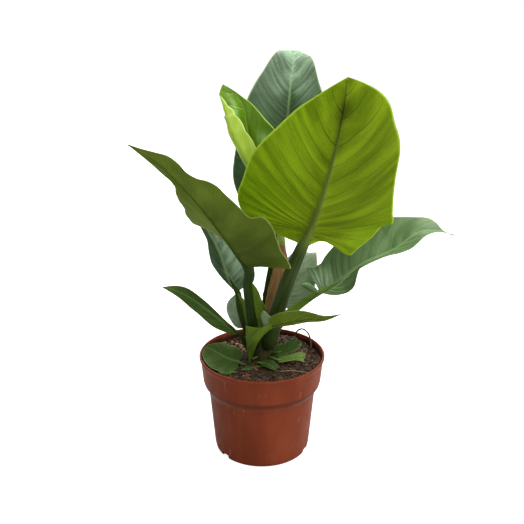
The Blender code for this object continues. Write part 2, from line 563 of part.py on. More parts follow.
def build_leaf(name, leaf, stem_clearance):
    """One leaf: the blade joined to its petiole, cut to clasp the stem."""
    thing = make_object(name, *blade(leaf), leaf["finish"])
    rib = leaf["rib"]
    midrib = smooth_curve(rib, np.array([MIDRIB_REACH / 2, MIDRIB_REACH]))[0]
    radii = [*leaf["radii"], leaf["radii"][-1] * MIDRIB_TAPER, MIDRIB_TIP]
    grid = PETIOLE_GRID[bool(curve_length(rib) >= LARGE_BLADE)]
    stalk = tube(np.vstack([leaf["path"], midrib]), radii, *grid, leaf.get("squash", 1.0))
    petiole = make_cutter(name + "_petiole", *stalk, leaf["finish"])
    combine(thing, petiole, "UNION")
    combine(thing, stem_clearance, "DIFFERENCE")


def build_cataphyll():
    """The dry papery sheath that wrapped the youngest leaf: an open half tube round its petiole."""
    rows, columns = CATAPHYLL_GRID
    places = np.linspace(0, 1, rows + 1)
    bottom, top = CATAPHYLL_SPAN
    centre, along = smooth_curve(LEAVES["leaf_unfurling"]["path"], bottom + (top - bottom) * places)
    radius = spread(CATAPHYLL_RADII, places)
    side = unit(np.cross(along, (0.0, 1.0, 0.0)))
    across = np.cross(along, side)
    narrowing = 1 - CATAPHYLL_NARROWING * places**4
    middle = np.mean(CATAPHYLL_ARC)
    half = (CATAPHYLL_ARC[1] - CATAPHYLL_ARC[0]) / 2
    angle = np.radians(middle + half * narrowing[:, None] * np.linspace(-1, 1, columns + 1))
    direction = side[:, None] * np.cos(angle)[..., None] + across[:, None] * np.sin(angle)[..., None]
    outer = centre[:, None] + direction * radius[:, None, None]
    inner = centre[:, None] + direction * (radius - CATAPHYLL_WALL)[:, None, None]
    vertices = np.vstack([outer.reshape(-1, 3), inner.reshape(-1, 3)])
    width = columns + 1
    lower = outer.shape[0] * width
    faces = []
    for row in range(rows):
        for k in range(columns):
            a = row * width + k
            quad = (a, a + 1, a + width + 1, a + width)
            faces.append(quad)
            faces.append(tuple(v + lower for v in quad[::-1]))
    loop = list(range(width)) + [row * width + columns for row in range(1, rows + 1)]
    loop += list(range(rows * width + columns - 1, rows * width - 1, -1))
    loop += [row * width for row in range(rows - 1, 0, -1)]
    for k, a in enumerate(loop):
        b = loop[(k + 1) % len(loop)]
        faces.append((b, a, a + lower, b + lower))
    return make_object("papery_sheath", vertices, faces, SHEATH_BROWN)


def main():
    """Clear the scene and build the pot, the soil and the plant."""
    for thing in list(bpy.data.objects):
        bpy.data.objects.remove(thing, do_unlink=True)
    build_pot()
    stem_clearance = build_stem()
    build_soil(stem_clearance)
    for name, leaf in LEAVES.items():
        build_leaf(name, leaf, stem_clearance)
    build_cataphyll()
    make_object("aerial_root", *tube(AERIAL_ROOT, [AERIAL_ROOT_RADIUS], *AERIAL_ROOT_GRID), ROOT_BROWN)
    make_object("soil_fibre", *tube(SOIL_FIBRE, [SOIL_FIBRE_RADIUS], *SOIL_FIBRE_GRID), ROOT_BROWN)
    make_object("dry_leaf_scrap", *tube(DRY_SCRAP, DRY_SCRAP_RADII, *DRY_SCRAP_GRID), SHEATH_BROWN)


main()
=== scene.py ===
"""The looks of the potted philodendron: a nursery pot, its soil, one short stem and its leaves.

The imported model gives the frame: metres, the pot's base at the origin, +Z up and -Y the front.
Sizes in the sections below are millimetres and are scaled to metres when a mesh is made.
"""

import bpy
import numpy as np
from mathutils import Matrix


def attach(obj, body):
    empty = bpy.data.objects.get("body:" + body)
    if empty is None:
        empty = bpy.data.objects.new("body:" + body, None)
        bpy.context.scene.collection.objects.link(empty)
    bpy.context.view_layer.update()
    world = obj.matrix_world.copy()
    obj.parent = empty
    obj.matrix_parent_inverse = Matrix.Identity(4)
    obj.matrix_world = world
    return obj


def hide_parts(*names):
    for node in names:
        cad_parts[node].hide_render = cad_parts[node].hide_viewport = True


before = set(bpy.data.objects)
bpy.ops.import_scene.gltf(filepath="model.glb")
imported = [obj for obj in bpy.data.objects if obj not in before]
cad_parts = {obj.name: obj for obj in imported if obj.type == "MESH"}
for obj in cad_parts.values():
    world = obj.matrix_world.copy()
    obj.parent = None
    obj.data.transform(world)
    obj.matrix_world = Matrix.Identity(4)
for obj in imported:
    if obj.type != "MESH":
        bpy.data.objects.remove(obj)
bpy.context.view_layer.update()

# ---------------------------------------------------------------- room
# A plain pale floor under a white room. One wide soft light hangs overhead and one high in
# front, one stands behind the plant and shines through its leaves, and a weak one fills from the right.
CAMERA_PLACE = (0.0, -0.72, 0.449)
CAMERA_PITCH = 19.75            # degrees below level
CAMERA_LENS = 57.16
LIGHTS = {                      # place, aim, size in metres, power in watts
    "overhead_light": ((0.2, 0.05, 1.45), (0.0, 0.0, 0.25), 1.1, 24.0),
    "front_light": ((0.35, -1.0, 1.5), (0.0, 0.0, 0.25), 1.0, 15.0),
    "back_light": ((-0.3, 1.25, 0.75), (0.0, 0.0, 0.25), 1.2, 18.0),
    "right_light": ((1.05, -0.25, 0.5), (0.0, 0.0, 0.15), 0.7, 6.0),
}
ROOM_SEEN = 1.05                # brightness of the white room to the camera
ROOM_LIGHT = 0.3                # and as a light on the plant
FLOOR_REACH = 30.0
FLOOR_PAINT = (0.6, 0.6, 0.6, 1)
FLOOR_GLOW = 0.85               # lifts the floor to the room's white for the camera alone
WHITE = (1, 1, 1, 1)


def connect(tree, node, links):
    """Give each input that links names its value or its socket."""
    for key, value in dict(links).items():
        if isinstance(value, bpy.types.NodeSocket):
            tree.links.new(value, node.inputs[key])
        else:
            node.inputs[key].default_value = value


def add_node(tree, kind, links=(), **settings):
    """A shader node: settings are its own choices, links maps each input to a value or a socket."""
    made = tree.nodes.new(kind)
    for key, value in settings.items():
        setattr(made, key, value)
    connect(tree, made, links)
    return made


def new_material(name):
    """A material and its node tree, which holds one Principled shader."""
    material = bpy.data.materials.new(name)
    material.use_nodes = True
    return material, material.node_tree


def camera_and_rest(tree, camera, rest):
    """One shader for the camera's own rays and another for all the rest."""
    seen = add_node(tree, "ShaderNodeLightPath").outputs["Is Camera Ray"]
    links = {0: seen, 1: rest.outputs[0], 2: camera.outputs[0]}
    return add_node(tree, "ShaderNodeMixShader", links).outputs[0]


def aim(thing, target):
    """Turn an object's -Z axis to a target."""
    direction = np.asarray(target) - np.asarray(thing.location)
    yaw = np.arctan2(direction[0], -direction[1])
    pitch = np.arctan2(np.hypot(direction[0], direction[1]), -direction[2])
    thing.rotation_euler = (pitch, 0.0, yaw + np.pi)


def build_room():
    """Camera, lights, white surroundings and the floor."""
    scene = bpy.context.scene
    scene.view_settings.view_transform = "Standard"
    camera = bpy.data.objects.new("camera", bpy.data.cameras.new("camera"))
    camera.data.lens = CAMERA_LENS
    camera.location = CAMERA_PLACE
    camera.rotation_euler = (np.radians(90 - CAMERA_PITCH), 0.0, 0.0)
    scene.collection.objects.link(camera)
    scene.camera = camera
    for name, (place, target, size, power) in LIGHTS.items():
        light = bpy.data.objects.new(name, bpy.data.lights.new(name, "AREA"))
        light.data.size = size
        light.data.energy = power
        light.location = place
        light.visible_camera = False
        aim(light, target)
        scene.collection.objects.link(light)
    world = bpy.data.worlds.new("white_room")
    world.use_nodes = True
    tree = world.node_tree
    tree.nodes.clear()
    white = add_node(tree, "ShaderNodeBackground", {"Color": WHITE, "Strength": ROOM_SEEN})
    dim = add_node(tree, "ShaderNodeBackground", {"Color": WHITE, "Strength": ROOM_LIGHT})
    add_node(tree, "ShaderNodeOutputWorld", {"Surface": camera_and_rest(tree, white, dim)})
    scene.world = world

    mesh = bpy.data.meshes.new("floor")
    corners = [(x * FLOOR_REACH, y * FLOOR_REACH, 0) for x, y in ((-1, -1), (1, -1), (1, 1), (-1, 1))]
    mesh.from_pydata(corners, [], [(0, 1, 2, 3)])
    floor = bpy.data.objects.new("floor", mesh)
    scene.collection.objects.link(floor)
    paint, tree = new_material("pale_floor")
    tree.nodes.clear()
    pale = add_node(tree, "ShaderNodeBsdfDiffuse", {"Color": FLOOR_PAINT})
    glow = add_node(tree, "ShaderNodeEmission", {"Color": WHITE, "Strength": FLOOR_GLOW})
    lit = add_node(tree, "ShaderNodeAddShader", {0: pale.outputs[0], 1: glow.outputs[0]})
    add_node(tree, "ShaderNodeOutputMaterial", {"Surface": camera_and_rest(tree, lit, pale)})
    mesh.materials.append(paint)


build_room()

# ---------------------------------------------------------------- pot
# An injection-moulded nursery pot in terracotta-coloured plastic: a deep flared collar, a tapered
# body, and a raised floor on a ring foot and a centre foot, with three drain notches in the ring.
MM = 0.001
POT_HEIGHT = 98.0
RIM_RADIUS = 60.0
COLLAR_RADIUS = 56.5
BODY_RADIUS = 51.0
BASE_RADIUS = 43.4
COLLAR_FOOT = 73.0
POT_WALL = 1.4
FLOOR_TOP = 4.5
CENTRE_FOOT = 13.0
RING_FOOT_INSIDE = 37.5
FOOT_HEIGHT = 3.0
MOULD_RADIUS = 0.9              # rounding of every edge
CORNER_STEPS = 4
DRAIN_ANGLES = (98.0, 218.0, 338.0)
DRAIN_MIDDLE = 41.95            # from the pot's axis
DRAIN_DEPTH = 15.0              # through the ring foot
DRAIN_WIDTH = 11.0
DRAIN_TOP = 5.2
DRAIN_BOTTOM = -2.0             # below the ground, so that the cut is open
POT_COLOUR = (0.195, 0.038, 0.014, 1)
POT_WORN = (0.245, 0.054, 0.024, 1)
POT_DEEP = (0.15, 0.028, 0.009, 1)
# The next two colours are painted shade: on the inner wall below the lip, and in the step under the collar.
POT_INNER_PAINTED_SHADE = (0.028, 0.011, 0.005, 1)
POT_COLLAR_PAINTED_SHADE = (0.06, 0.017, 0.006, 1)
POT_SCUFF = (0.42, 0.16, 0.10, 1)
POT_NICK = (0.07, 0.02, 0.012, 1)


def make_piece(name, points, faces, materials, slots=None, attributes=(), smooth=True):
    """An object from points in millimetres, faces, materials and one value per point for attributes."""
    mesh = bpy.data.meshes.new(name)
    mesh.from_pydata((np.asarray(points) * MM).tolist(), [], [list(f) for f in faces])
    for material in materials:
        mesh.materials.append(material)
    if slots is not None:
        mesh.polygons.foreach_set("material_index", np.asarray(slots, np.int32))
    for key, values in dict(attributes).items():
        layer = mesh.attributes.new(key, "FLOAT", "POINT")
        layer.data.foreach_set("value", np.asarray(values, np.float32))
    mesh.polygons.foreach_set("use_smooth", np.full(len(mesh.polygons), smooth))
    mesh.update()
    piece = bpy.data.objects.new(name, mesh)
    bpy.context.scene.collection.objects.link(piece)
    return piece


def install(piece, slot, *nodes):
    """Give a finished piece its body and hide the nodes it stands for. The slot is not used."""
    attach(piece, "root")
    if nodes:
        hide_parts(*nodes)


def round_corners(corners, radius, steps):
    """A profile whose inner corners are rounded: each becomes a short arc between two cut-back points.

    The arc is the quadratic curve from a point before the corner to one after it, bent towards it.
    """
    corners = np.asarray(corners, float)
    before, corner, after = corners[:-2], corners[1:-1], corners[2:]
    back = before - corner
    ahead = after - corner
    back_length = np.linalg.norm(back, axis=1, keepdims=True)
    ahead_length = np.linalg.norm(ahead, axis=1, keepdims=True)
    start = corner + back / back_length * np.minimum(radius, back_length * 0.45)
    end = corner + ahead / ahead_length * np.minimum(radius, ahead_length * 0.45)
    u = np.linspace(0, 1, steps + 1)[None, :, None]
    arcs = start[:, None] * (1 - u) ** 2 + corner[:, None] * 2 * u * (1 - u) + end[:, None] * u**2
    return np.vstack([corners[:1], arcs.reshape(-1, 2), corners[-1:]])


def turned(profile, segments):
    """Rings of a turned shape: each radius and height of the profile carried round +Z."""
    turn = np.linspace(0, 2 * np.pi, segments, endpoint=False)
    radius, height = profile[:, :1], profile[:, 1:]
    return np.stack([radius * np.cos(turn), radius * np.sin(turn), height + 0 * turn], axis=-1)


def ring_stack(rings, bottom, top):
    """A closed shape: quads between rings of points, and a fan from a point over each end ring."""
    count, segments = rings.shape[:2]
    number = np.arange(count * segments).reshape(count, segments)
    following = np.roll(number, -1, axis=1)
    walls = np.stack([number[:-1], following[:-1], following[1:], number[1:]], axis=-1).reshape(-1, 4)
    low, high = np.full(segments, count * segments), np.full(segments, count * segments + 1)
    floor = np.stack([low, following[0], number[0]], axis=-1)
    roof = np.stack([number[-1], following[-1], high], axis=-1)
    return np.vstack([rings.reshape(-1, 3), [bottom], [top]]), walls.tolist() + floor.tolist() + roof.tolist()


def pot_outer_profile():
    """Radius and height of the outside, from the foot up to the lip."""
    return [(BASE_RADIUS, 0), (BASE_RADIUS + 1.6, 1.6), (BASE_RADIUS + 2.6, 6),
            (BODY_RADIUS, COLLAR_FOOT - 12), (BODY_RADIUS + 0.9, COLLAR_FOOT - 9),
            (COLLAR_RADIUS - 1.0, COLLAR_FOOT - 3.5), (COLLAR_RADIUS, COLLAR_FOOT),
            (RIM_RADIUS - 1.6, POT_HEIGHT - 6), (RIM_RADIUS, POT_HEIGHT - 1.5),
            (RIM_RADIUS - 0.4, POT_HEIGHT)]


def pot_inner_profile():
    """Radius and height of the inside, from the lip down to the floor."""
    outer = pot_outer_profile()
    inner = [(RIM_RADIUS - 2.0, POT_HEIGHT)] + [(r - POT_WALL, z) for r, z in outer[7:2:-1]]
    return inner + [(BASE_RADIUS + 2.6 - POT_WALL, 8.0), (BASE_RADIUS - 0.2, FLOOR_TOP)]


def cut_away(piece, cutters):
    """Boolean the cutters out of a piece, keep the result as its mesh and drop the cutters."""
    for cutter in cutters:
        modifier = piece.modifiers.new(cutter.name, "BOOLEAN")
        modifier.operation = "DIFFERENCE"
        modifier.solver = "EXACT"
        modifier.object = cutter
    shape = piece.evaluated_get(bpy.context.evaluated_depsgraph_get())
    mesh = bpy.data.meshes.new_from_object(shape)
    piece.modifiers.clear()
    piece.data = mesh
    for cutter in cutters:
        bpy.data.objects.remove(cutter, do_unlink=True)


def math_node(tree, operation, *values):
    """The output of a Math node on one to three values or sockets."""
    return add_node(tree, "ShaderNodeMath", dict(enumerate(values)), operation=operation).outputs[0]


def ramp_node(tree, value, start, end, low=0.0, high=1.0):
    """A smooth step: low up to the start, high from the end."""
    links = {"Value": value, "From Min": start, "From Max": end, "To Min": low, "To Max": high}
    return add_node(tree, "ShaderNodeMapRange", links, interpolation_type="SMOOTHSTEP").outputs[0]


def mix_node(tree, amount, first, second, blend="MIX"):
    """Two colours mixed by an amount."""
    links = {"Factor": amount, 6: first, 7: second}
    return add_node(tree, "ShaderNodeMix", links, data_type="RGBA", blend_type=blend).outputs[2]


def noise_node(tree, vector, scale, detail=2.0, roughness=0.5):
    """Cloudy noise between 0 and 1."""
    links = {"Vector": vector, "Scale": scale, "Detail": detail, "Roughness": roughness}
    return add_node(tree, "ShaderNodeTexNoise", links).outputs[0]


def place_node(tree):
    """The place of each point on the object, in metres."""
    return add_node(tree, "ShaderNodeTexCoord").outputs["Object"]


def coat(tree, colour, roughness, specular, height, depth, strength=0.5):
    """Give a material's shader its colour, roughness, specular level and a bump so many metres deep.

    The bumped normal comes back, for a second shader of the same material.
    """
    links = {"Height": height, "Distance": depth, "Strength": strength}
    bump = add_node(tree, "ShaderNodeBump", links).outputs[0]
    connect(tree, tree.nodes["Principled BSDF"], {
        "Base Color": colour, "Roughness": roughness, "Specular IOR Level": specular, "Normal": bump})
    return bump


def pot_plastic(name, inner_shaded):
    """Satin moulded plastic: cloudy vertical streaks, a fine grain, pale scuffs and a few dark nicks.

    A band of painted shade darkens the step under the collar, and painted shade darkens the inner wall
    below the lip.
    """
    material, tree = new_material(name)
    place = place_node(tree)
    tall = add_node(tree, "ShaderNodeMapping", {"Vector": place, "Scale": (1, 1, 0.22)}).outputs[0]
    cloud = noise_node(tree, tall, 55.0, 5.0)
    broad = noise_node(tree, place, 16.0, 3.0)
    grain = noise_node(tree, place, 900.0)
    scuff = noise_node(tree, tall, 240.0, 6.0)
    nick = add_node(tree, "ShaderNodeTexVoronoi", {"Vector": place, "Scale": 70.0}).outputs["Distance"]
    colour = mix_node(tree, ramp_node(tree, cloud, 0.35, 0.7), POT_DEEP, POT_COLOUR)
    colour = mix_node(tree, ramp_node(tree, broad, 0.5, 0.75, 0.0, 0.6), colour, POT_WORN)
    colour = mix_node(tree, ramp_node(tree, scuff, 0.64, 0.72, 0.0, 0.35), colour, POT_SCUFF)
    colour = mix_node(tree, ramp_node(tree, nick, 0.03, 0.08, 0.45, 0.0), colour, POT_NICK)
    level = add_node(tree, "ShaderNodeSeparateXYZ", {0: place}).outputs[2]
    # Painted shade: the inner wall darkens below the lip, and outside a band darkens the step under the
    # collar.
    if inner_shaded:
        ragged = math_node(tree, "MULTIPLY_ADD", cloud, 0.006, level)
        painted_shade_mask = ramp_node(tree, ragged, 0.0965, 0.0995, 0.92, 0.0)
    else:
        above = ramp_node(tree, level, 0.0655, 0.0685)
        below = ramp_node(tree, level, 0.0715, 0.0735, 1.0, 0.0)
        painted_shade_mask = math_node(tree, "MULTIPLY", math_node(tree, "MULTIPLY", below, above), 0.6)
    colour = mix_node(tree, painted_shade_mask, colour, POT_INNER_PAINTED_SHADE if inner_shaded else POT_COLLAR_PAINTED_SHADE)
    height = math_node(tree, "MULTIPLY_ADD", grain, 0.5, cloud)
    coat(tree, colour, ramp_node(tree, scuff, 0.3, 0.8, 0.38, 0.6), 0.06, height, 0.0003)
    return material


def build_pot():
    """The turned wall and floor, with the drain notches cut out of the ring foot."""
    underside = [(0, 0), (CENTRE_FOOT, 0), (CENTRE_FOOT + 1, FOOT_HEIGHT),
                 (RING_FOOT_INSIDE - 1, FOOT_HEIGHT), (RING_FOOT_INSIDE, 0)]
    outside = pot_outer_profile()
    corners = underside + outside + pot_inner_profile() + [(0, FLOOR_TOP)]
    profile = round_corners(corners, MOULD_RADIUS, CORNER_STEPS)
    segments = 192
    points, faces = ring_stack(turned(profile[1:-1], segments), (0, 0, profile[0, 1]), (0, 0, profile[-1, 1]))
    lip = (len(underside) + len(outside) - 1) * (CORNER_STEPS + 1)
    number = np.arange(len(faces))
    inner = (number // segments >= lip) & (number < len(faces) - 2 * segments)
    # The second material carries the painted shade on the inner wall.
    plastic, inner_shaded = pot_plastic("terracotta_plastic", False), pot_plastic("inner_shaded_plastic", True)
    pot = make_piece("moulded_pot", points, faces, [plastic, inner_shaded], inner.astype(int))
    corners = np.array([(-0.5, -0.5), (0.5, -0.5), (0.5, 0.5), (-0.5, 0.5)]) * (DRAIN_DEPTH, DRAIN_WIDTH)
    faces = [(3, 2, 1, 0), (4, 5, 6, 7), (0, 1, 5, 4), (1, 2, 6, 5), (2, 3, 7, 6), (3, 0, 4, 7)]
    cutters = []
    for index, angle in enumerate(np.radians(DRAIN_ANGLES)):
        outwards = np.array([np.cos(angle), np.sin(angle)])
        sideways = np.array([-np.sin(angle), np.cos(angle)])
        flat = outwards * DRAIN_MIDDLE + corners[:, :1] * outwards + corners[:, 1:] * sideways
        points = np.vstack([np.hstack([flat, np.full((4, 1), z)]) for z in (DRAIN_BOTTOM, DRAIN_TOP)])
        cutters.append(make_piece("drain_cutter_%d" % index, points, faces, [plastic], smooth=False))
    cut_away(pot, cutters)
    pot.data.set_sharp_from_angle(angle=np.radians(40))
    install(pot, "pot_terracotta", "pot")


build_pot()

# ---------------------------------------------------------------- potting soil
# Coarse peat that fills the pot to just below the rim: a rough top with a low mound at the stem
# and a loose heap at the back right, strewn with crumbs, bark chips, pale grains and fibres.
SOIL_LEVEL = 90.5
SOIL_MOUND = 2.0
SOIL_MOUND_RADIUS = 22.0
SOIL_HEAP = 6.0
SOIL_HEAP_CENTRE = (25.0, 38.0)
SOIL_HEAP_RADIUS = 12.0
SOIL_RADIUS = 56.9
SOIL_FLOOR = FLOOR_TOP + 0.3


def waves(x, y, seed, count, scale):
    """Smooth irregular bumps between -1 and 1: a mean of sine waves in seeded directions."""
    dice = np.random.default_rng(seed)
    heading = dice.uniform(0, 2 * np.pi, count)
    pitch = scale * dice.uniform(0.6, 1.6, count)
    phase = dice.uniform(0, 2 * np.pi, count)
    along = np.multiply.outer(x, np.cos(heading) / pitch) + np.multiply.outer(y, np.sin(heading) / pitch)
    return np.sin(2 * np.pi * along + phase).mean(axis=-1) * np.sqrt(count) / 1.8


def soil_height(x, y):
    """Height of the soil: level, with a low mound at the stem and a loose heap at the back right."""
    mound = SOIL_MOUND * np.exp(-(x**2 + y**2) / SOIL_MOUND_RADIUS**2)
    heap_x, heap_y = x - SOIL_HEAP_CENTRE[0], y - SOIL_HEAP_CENTRE[1]
    return SOIL_LEVEL + mound + SOIL_HEAP * np.exp(-(heap_x**2 + heap_y**2) / SOIL_HEAP_RADIUS**2)


def soil_surface(x, y):
    """The rough top: the soil's height with clods, lumps and grit of falling size added."""
    rough = 0.9 * waves(x, y, 1, 9, 14) + 0.7 * waves(x, y, 2, 12, 5) + 0.45 * waves(x, y, 3, 16, 2)
    return soil_height(x, y) + rough - 0.3


def peat(name, dark, light, fleck, toned=False):
    """Peat: dark fibres and lighter crumbs, with a few pale flecks; a tone attribute shifts each crumb."""
    material, tree = new_material(name)
    place = place_node(tree)
    clod = noise_node(tree, place, 260.0, 8.0, 0.7)
    grit = add_node(tree, "ShaderNodeTexVoronoi", {"Vector": place, "Scale": 620.0}).outputs["Distance"]
    mask = ramp_node(tree, clod, 0.38, 0.68)
    if toned:
        tone = add_node(tree, "ShaderNodeAttribute", attribute_name="tone").outputs["Fac"]
        mask = math_node(tree, "MULTIPLY_ADD", mask, 0.35, math_node(tree, "MULTIPLY", tone, 0.75))
    colour = mix_node(tree, mask, dark, light)
    colour = mix_node(tree, ramp_node(tree, grit, 0.10, 0.2, 0.55, 0.0), colour, fleck)
    coat(tree, colour, 0.95, 0.15, math_node(tree, "ADD", clod, grit), 0.0012, 0.9)
    return material


def build_soil():
    """The root ball: rings up the pot's wall from the floor, then a rough top in rings to the centre."""
    segments, rings = 300, 90
    turn = np.linspace(0, 2 * np.pi, segments, endpoint=False)
    radius = SOIL_RADIUS * np.linspace(1, 0, rings, endpoint=False)[:, None]
    x, y = radius * np.cos(turn), radius * np.sin(turn)
    top = np.stack([x, y, soil_surface(x, y)], axis=-1)
    inner = np.array([(r - 0.5, max(z, SOIL_FLOOR)) for r, z in pot_inner_profile()[:1:-1]])
    side = turned(inner[inner[:, 1] < SOIL_LEVEL - 4], segments)
    peak = float(soil_surface(np.zeros(1), np.zeros(1))[0])
    points, faces = ring_stack(np.vstack([side, top]), (0, 0, SOIL_FLOOR), (0, 0, peak))
    skin = peat("peat", (0.016, 0.009, 0.006, 1), (0.085, 0.052, 0.032, 1), (0.20, 0.15, 0.10, 1))
    install(make_piece("soil_surface", points, faces, [skin]), "soil", "potting_soil")


build_soil()


def ball():
    """The twelve corners and twenty faces of a regular twenty-sided solid of radius one."""
    long = (1 + 5**0.5) / 2
    corners = [(-1, long, 0), (1, long, 0), (-1, -long, 0), (1, -long, 0), (0, -1, long), (0, 1, long),
               (0, -1, -long), (0, 1, -long), (long, 0, -1), (long, 0, 1), (-long, 0, -1), (-long, 0, 1)]
    faces = [(0, 11, 5), (0, 5, 1), (0, 1, 7), (0, 7, 10), (0, 10, 11), (1, 5, 9), (5, 11, 4), (11, 10, 2),
             (10, 7, 6), (7, 1, 8), (3, 9, 4), (3, 4, 2), (3, 2, 6), (3, 6, 8), (3, 8, 9), (4, 9, 5),
             (2, 4, 11), (6, 2, 10), (8, 6, 7), (9, 8, 1)]
    return np.array(corners, float) / np.hypot(1, long), np.array(faces)


def strew(name, seed, count, sizes, stretch, centre, reach, dark, light, fleck):
    """Many small lumps on the soil in one mesh: each is the twenty-sided ball, dented, stretched and turned.

    A lump's size is drawn between the sizes with small ones commoner. It is stretched along one axis,
    turned by a random rotation, and set with its middle a quarter of its size above the surface.
    """
    dice = np.random.default_rng(seed)
    corners, faces = ball()
    size = sizes[0] + (sizes[1] - sizes[0]) * dice.random(count) ** 2.5
    radius = reach * np.sqrt(dice.random(count))
    angle = dice.uniform(0, 2 * np.pi, count)
    x, y = centre[0] + radius * np.cos(angle), centre[1] + radius * np.sin(angle)
    inside = np.hypot(x, y) + size * np.maximum(stretch[1], 1) < SOIL_RADIUS + 0.6
    size, x, y, count = size[inside], x[inside], y[inside], int(inside.sum())
    lumps = corners[None] * (0.75 + 0.5 * dice.random((count, 12, 1))) * size[:, None, None]
    longer, flatter = dice.uniform(*stretch, count), dice.uniform(0.5, 0.9, count)
    lumps = lumps * np.stack([np.ones(count), longer, flatter], -1)[:, None]
    axis = dice.normal(size=(count, 3))
    axis /= np.linalg.norm(axis, axis=1, keepdims=True)
    turn = dice.uniform(0, 2 * np.pi, count)[:, None, None]
    spin = axis[:, None]
    along = (lumps * spin).sum(-1, keepdims=True)
    lumps = lumps * np.cos(turn) + np.cross(spin, lumps) * np.sin(turn) + spin * along * (1 - np.cos(turn))
    lumps[..., 2] *= 0.6
    lift = soil_surface(x, y) + size * 0.25
    points = lumps + np.stack([x, y, lift], -1)[:, None]
    numbers = faces[None] + 12 * np.arange(count)[:, None, None]
    tones = {"tone": np.repeat(dice.uniform(0, 1, count), 12)}
    skin = peat(name + "_peat", dark, light, fleck, True)
    points, faces = points.reshape(-1, 3), numbers.reshape(-1, 3).tolist()
    install(make_piece(name, points, faces, [skin], attributes=tones, smooth=False), "soil")


strew("soil_crumbs", 11, 3600, (0.35, 1.9), (0.7, 1.8), (0, 0), 57, (0.012, 0.007, 0.005, 1),
      (0.12, 0.07, 0.04, 1), (0.16, 0.11, 0.07, 1))
strew("soil_grit", 12, 900, (0.3, 1.1), (0.8, 1.5), (27, 36), 22, (0.05, 0.038, 0.026, 1),
      (0.34, 0.29, 0.2, 1), (0.42, 0.36, 0.26, 1))
strew("bark_chips", 13, 110, (1.0, 2.3), (1.4, 3.0), (0, 0), 54, (0.045, 0.018, 0.010, 1),
      (0.2, 0.095, 0.05, 1), (0.3, 0.2, 0.12, 1))
strew("pale_chips", 14, 26, (1.0, 2.6), (1.2, 2.2), (-32, 26), 14, (0.17, 0.09, 0.05, 1),
      (0.4, 0.26, 0.15, 1), (0.45, 0.32, 0.2, 1))
strew("white_grains", 15, 90, (0.3, 0.75), (0.8, 1.3), (0, 0), 55, (0.3, 0.27, 0.2, 1),
      (0.7, 0.66, 0.55, 1), (0.7, 0.66, 0.55, 1))

# ---------------------------------------------------------------- stem
# The short fleshy stem that the petioles clasp: dark green above, brown and corky at the soil, with
# the ridges of old leaf scars round it.
STEM_PATH = [(0, 2, 62), (0, 2, 92), (0, 3, 108), (1, 5, 124)]
STEM_RADII = [8.5, 9.5, 9.5, 8.5]
CHANNEL_WIDTH = 0.55            # radians of a stalk's turn
STALK_CAP = 0.2                 # how far a stalk's end point stands off its last ring


def unit(vectors):
    """Vectors scaled to length one."""
    return vectors / np.linalg.norm(vectors, axis=-1, keepdims=True)


def smooth_curve(points, places):
    """Points and directions of a smooth curve through the given points, at places 0 to 1 along it.

    Each span is the cubic whose end slopes are the step-weighted means of the straight spans' slopes.
    """
    points = np.asarray(points, float)
    places = np.asarray(places, float)
    knots = np.concatenate([[0.0], np.cumsum(np.linalg.norm(np.diff(points, axis=0), axis=1))])
    knots /= knots[-1]
    steps = np.diff(knots)[:, None]
    slopes = np.diff(points, axis=0) / steps
    tangents = np.empty_like(points)
    tangents[1:-1] = (slopes[:-1] * steps[1:] + slopes[1:] * steps[:-1]) / (steps[1:] + steps[:-1])
    tangents[0] = 1.5 * slopes[0] - 0.5 * tangents[1]
    tangents[-1] = 1.5 * slopes[-1] - 0.5 * tangents[-2]
    index = np.clip(np.searchsorted(knots, places, side="right") - 1, 0, len(points) - 2)
    step = steps[index]
    u = (places - knots[index])[:, None] / step
    start, end = points[index], points[index + 1]
    leave, arrive = tangents[index] * step, tangents[index + 1] * step
    bend, settle = 3 * (end - start) - 2 * leave - arrive, 2 * (start - end) + leave + arrive
    position = start + u * leave + u**2 * bend + u**3 * settle
    return position, unit(leave + 2 * u * bend + 3 * u**2 * settle)


def curve_length(points):
    """Length of the smooth curve through the points."""
    return np.linalg.norm(np.diff(smooth_curve(points, np.linspace(0, 1, 60))[0], axis=0), axis=1).sum()


def spread(values, places):
    """A value, or a row of values evenly spaced along 0 to 1, read at the given places."""
    values = np.atleast_1d(np.asarray(values, float))
    return np.interp(places, np.linspace(0, 1, len(values)), values)


def stalk(path, radii, facing, sides, rows, depth=1.0, channel=0.0, ridges=0.0, seed=1):
    """A closed stalk: rings carried along a smooth path, closed by a point at each end.

    A ring's radius is the stalk's own there, less a channel facing one way, plus shallow lengthwise
    ridges; depth flattens it towards that way. Across runs round the ring and run along the path.
    """
    even = np.linspace(0, 1, rows + 1)
    places = 0.35 * (1 - np.cos(np.pi * even)) / 2 + 0.65 * even
    centre, along = smooth_curve(path, places)
    facing = np.asarray(facing, float)
    front = unit(facing - (along @ facing)[:, None] * along)
    side = np.cross(along, front)
    turn = np.linspace(0, 2 * np.pi, sides, endpoint=False)
    away = np.abs((turn + np.pi) % (2 * np.pi) - np.pi)
    shape = 1 - channel * np.exp(-(away / CHANNEL_WIDTH) ** 2)
    shape += ridges * np.sin(turn * 9 + seed) * np.sin(turn * 4 + seed)
    radius = spread(radii, places)[:, None] * shape
    offset = front[:, None] * (np.cos(turn) * depth)[:, None] + side[:, None] * np.sin(turn)[:, None]
    rings = centre[:, None] + radius[..., None] * offset
    points, faces = ring_stack(rings, centre[0] - along[0] * STALK_CAP, centre[-1] + along[-1] * STALK_CAP)
    across = np.concatenate([np.tile(np.cos(turn), rows + 1), [0, 0]])
    run = np.concatenate([np.repeat(places, sides), [0, 1]])
    return dict(points=points, faces=faces, across=across, run=run)


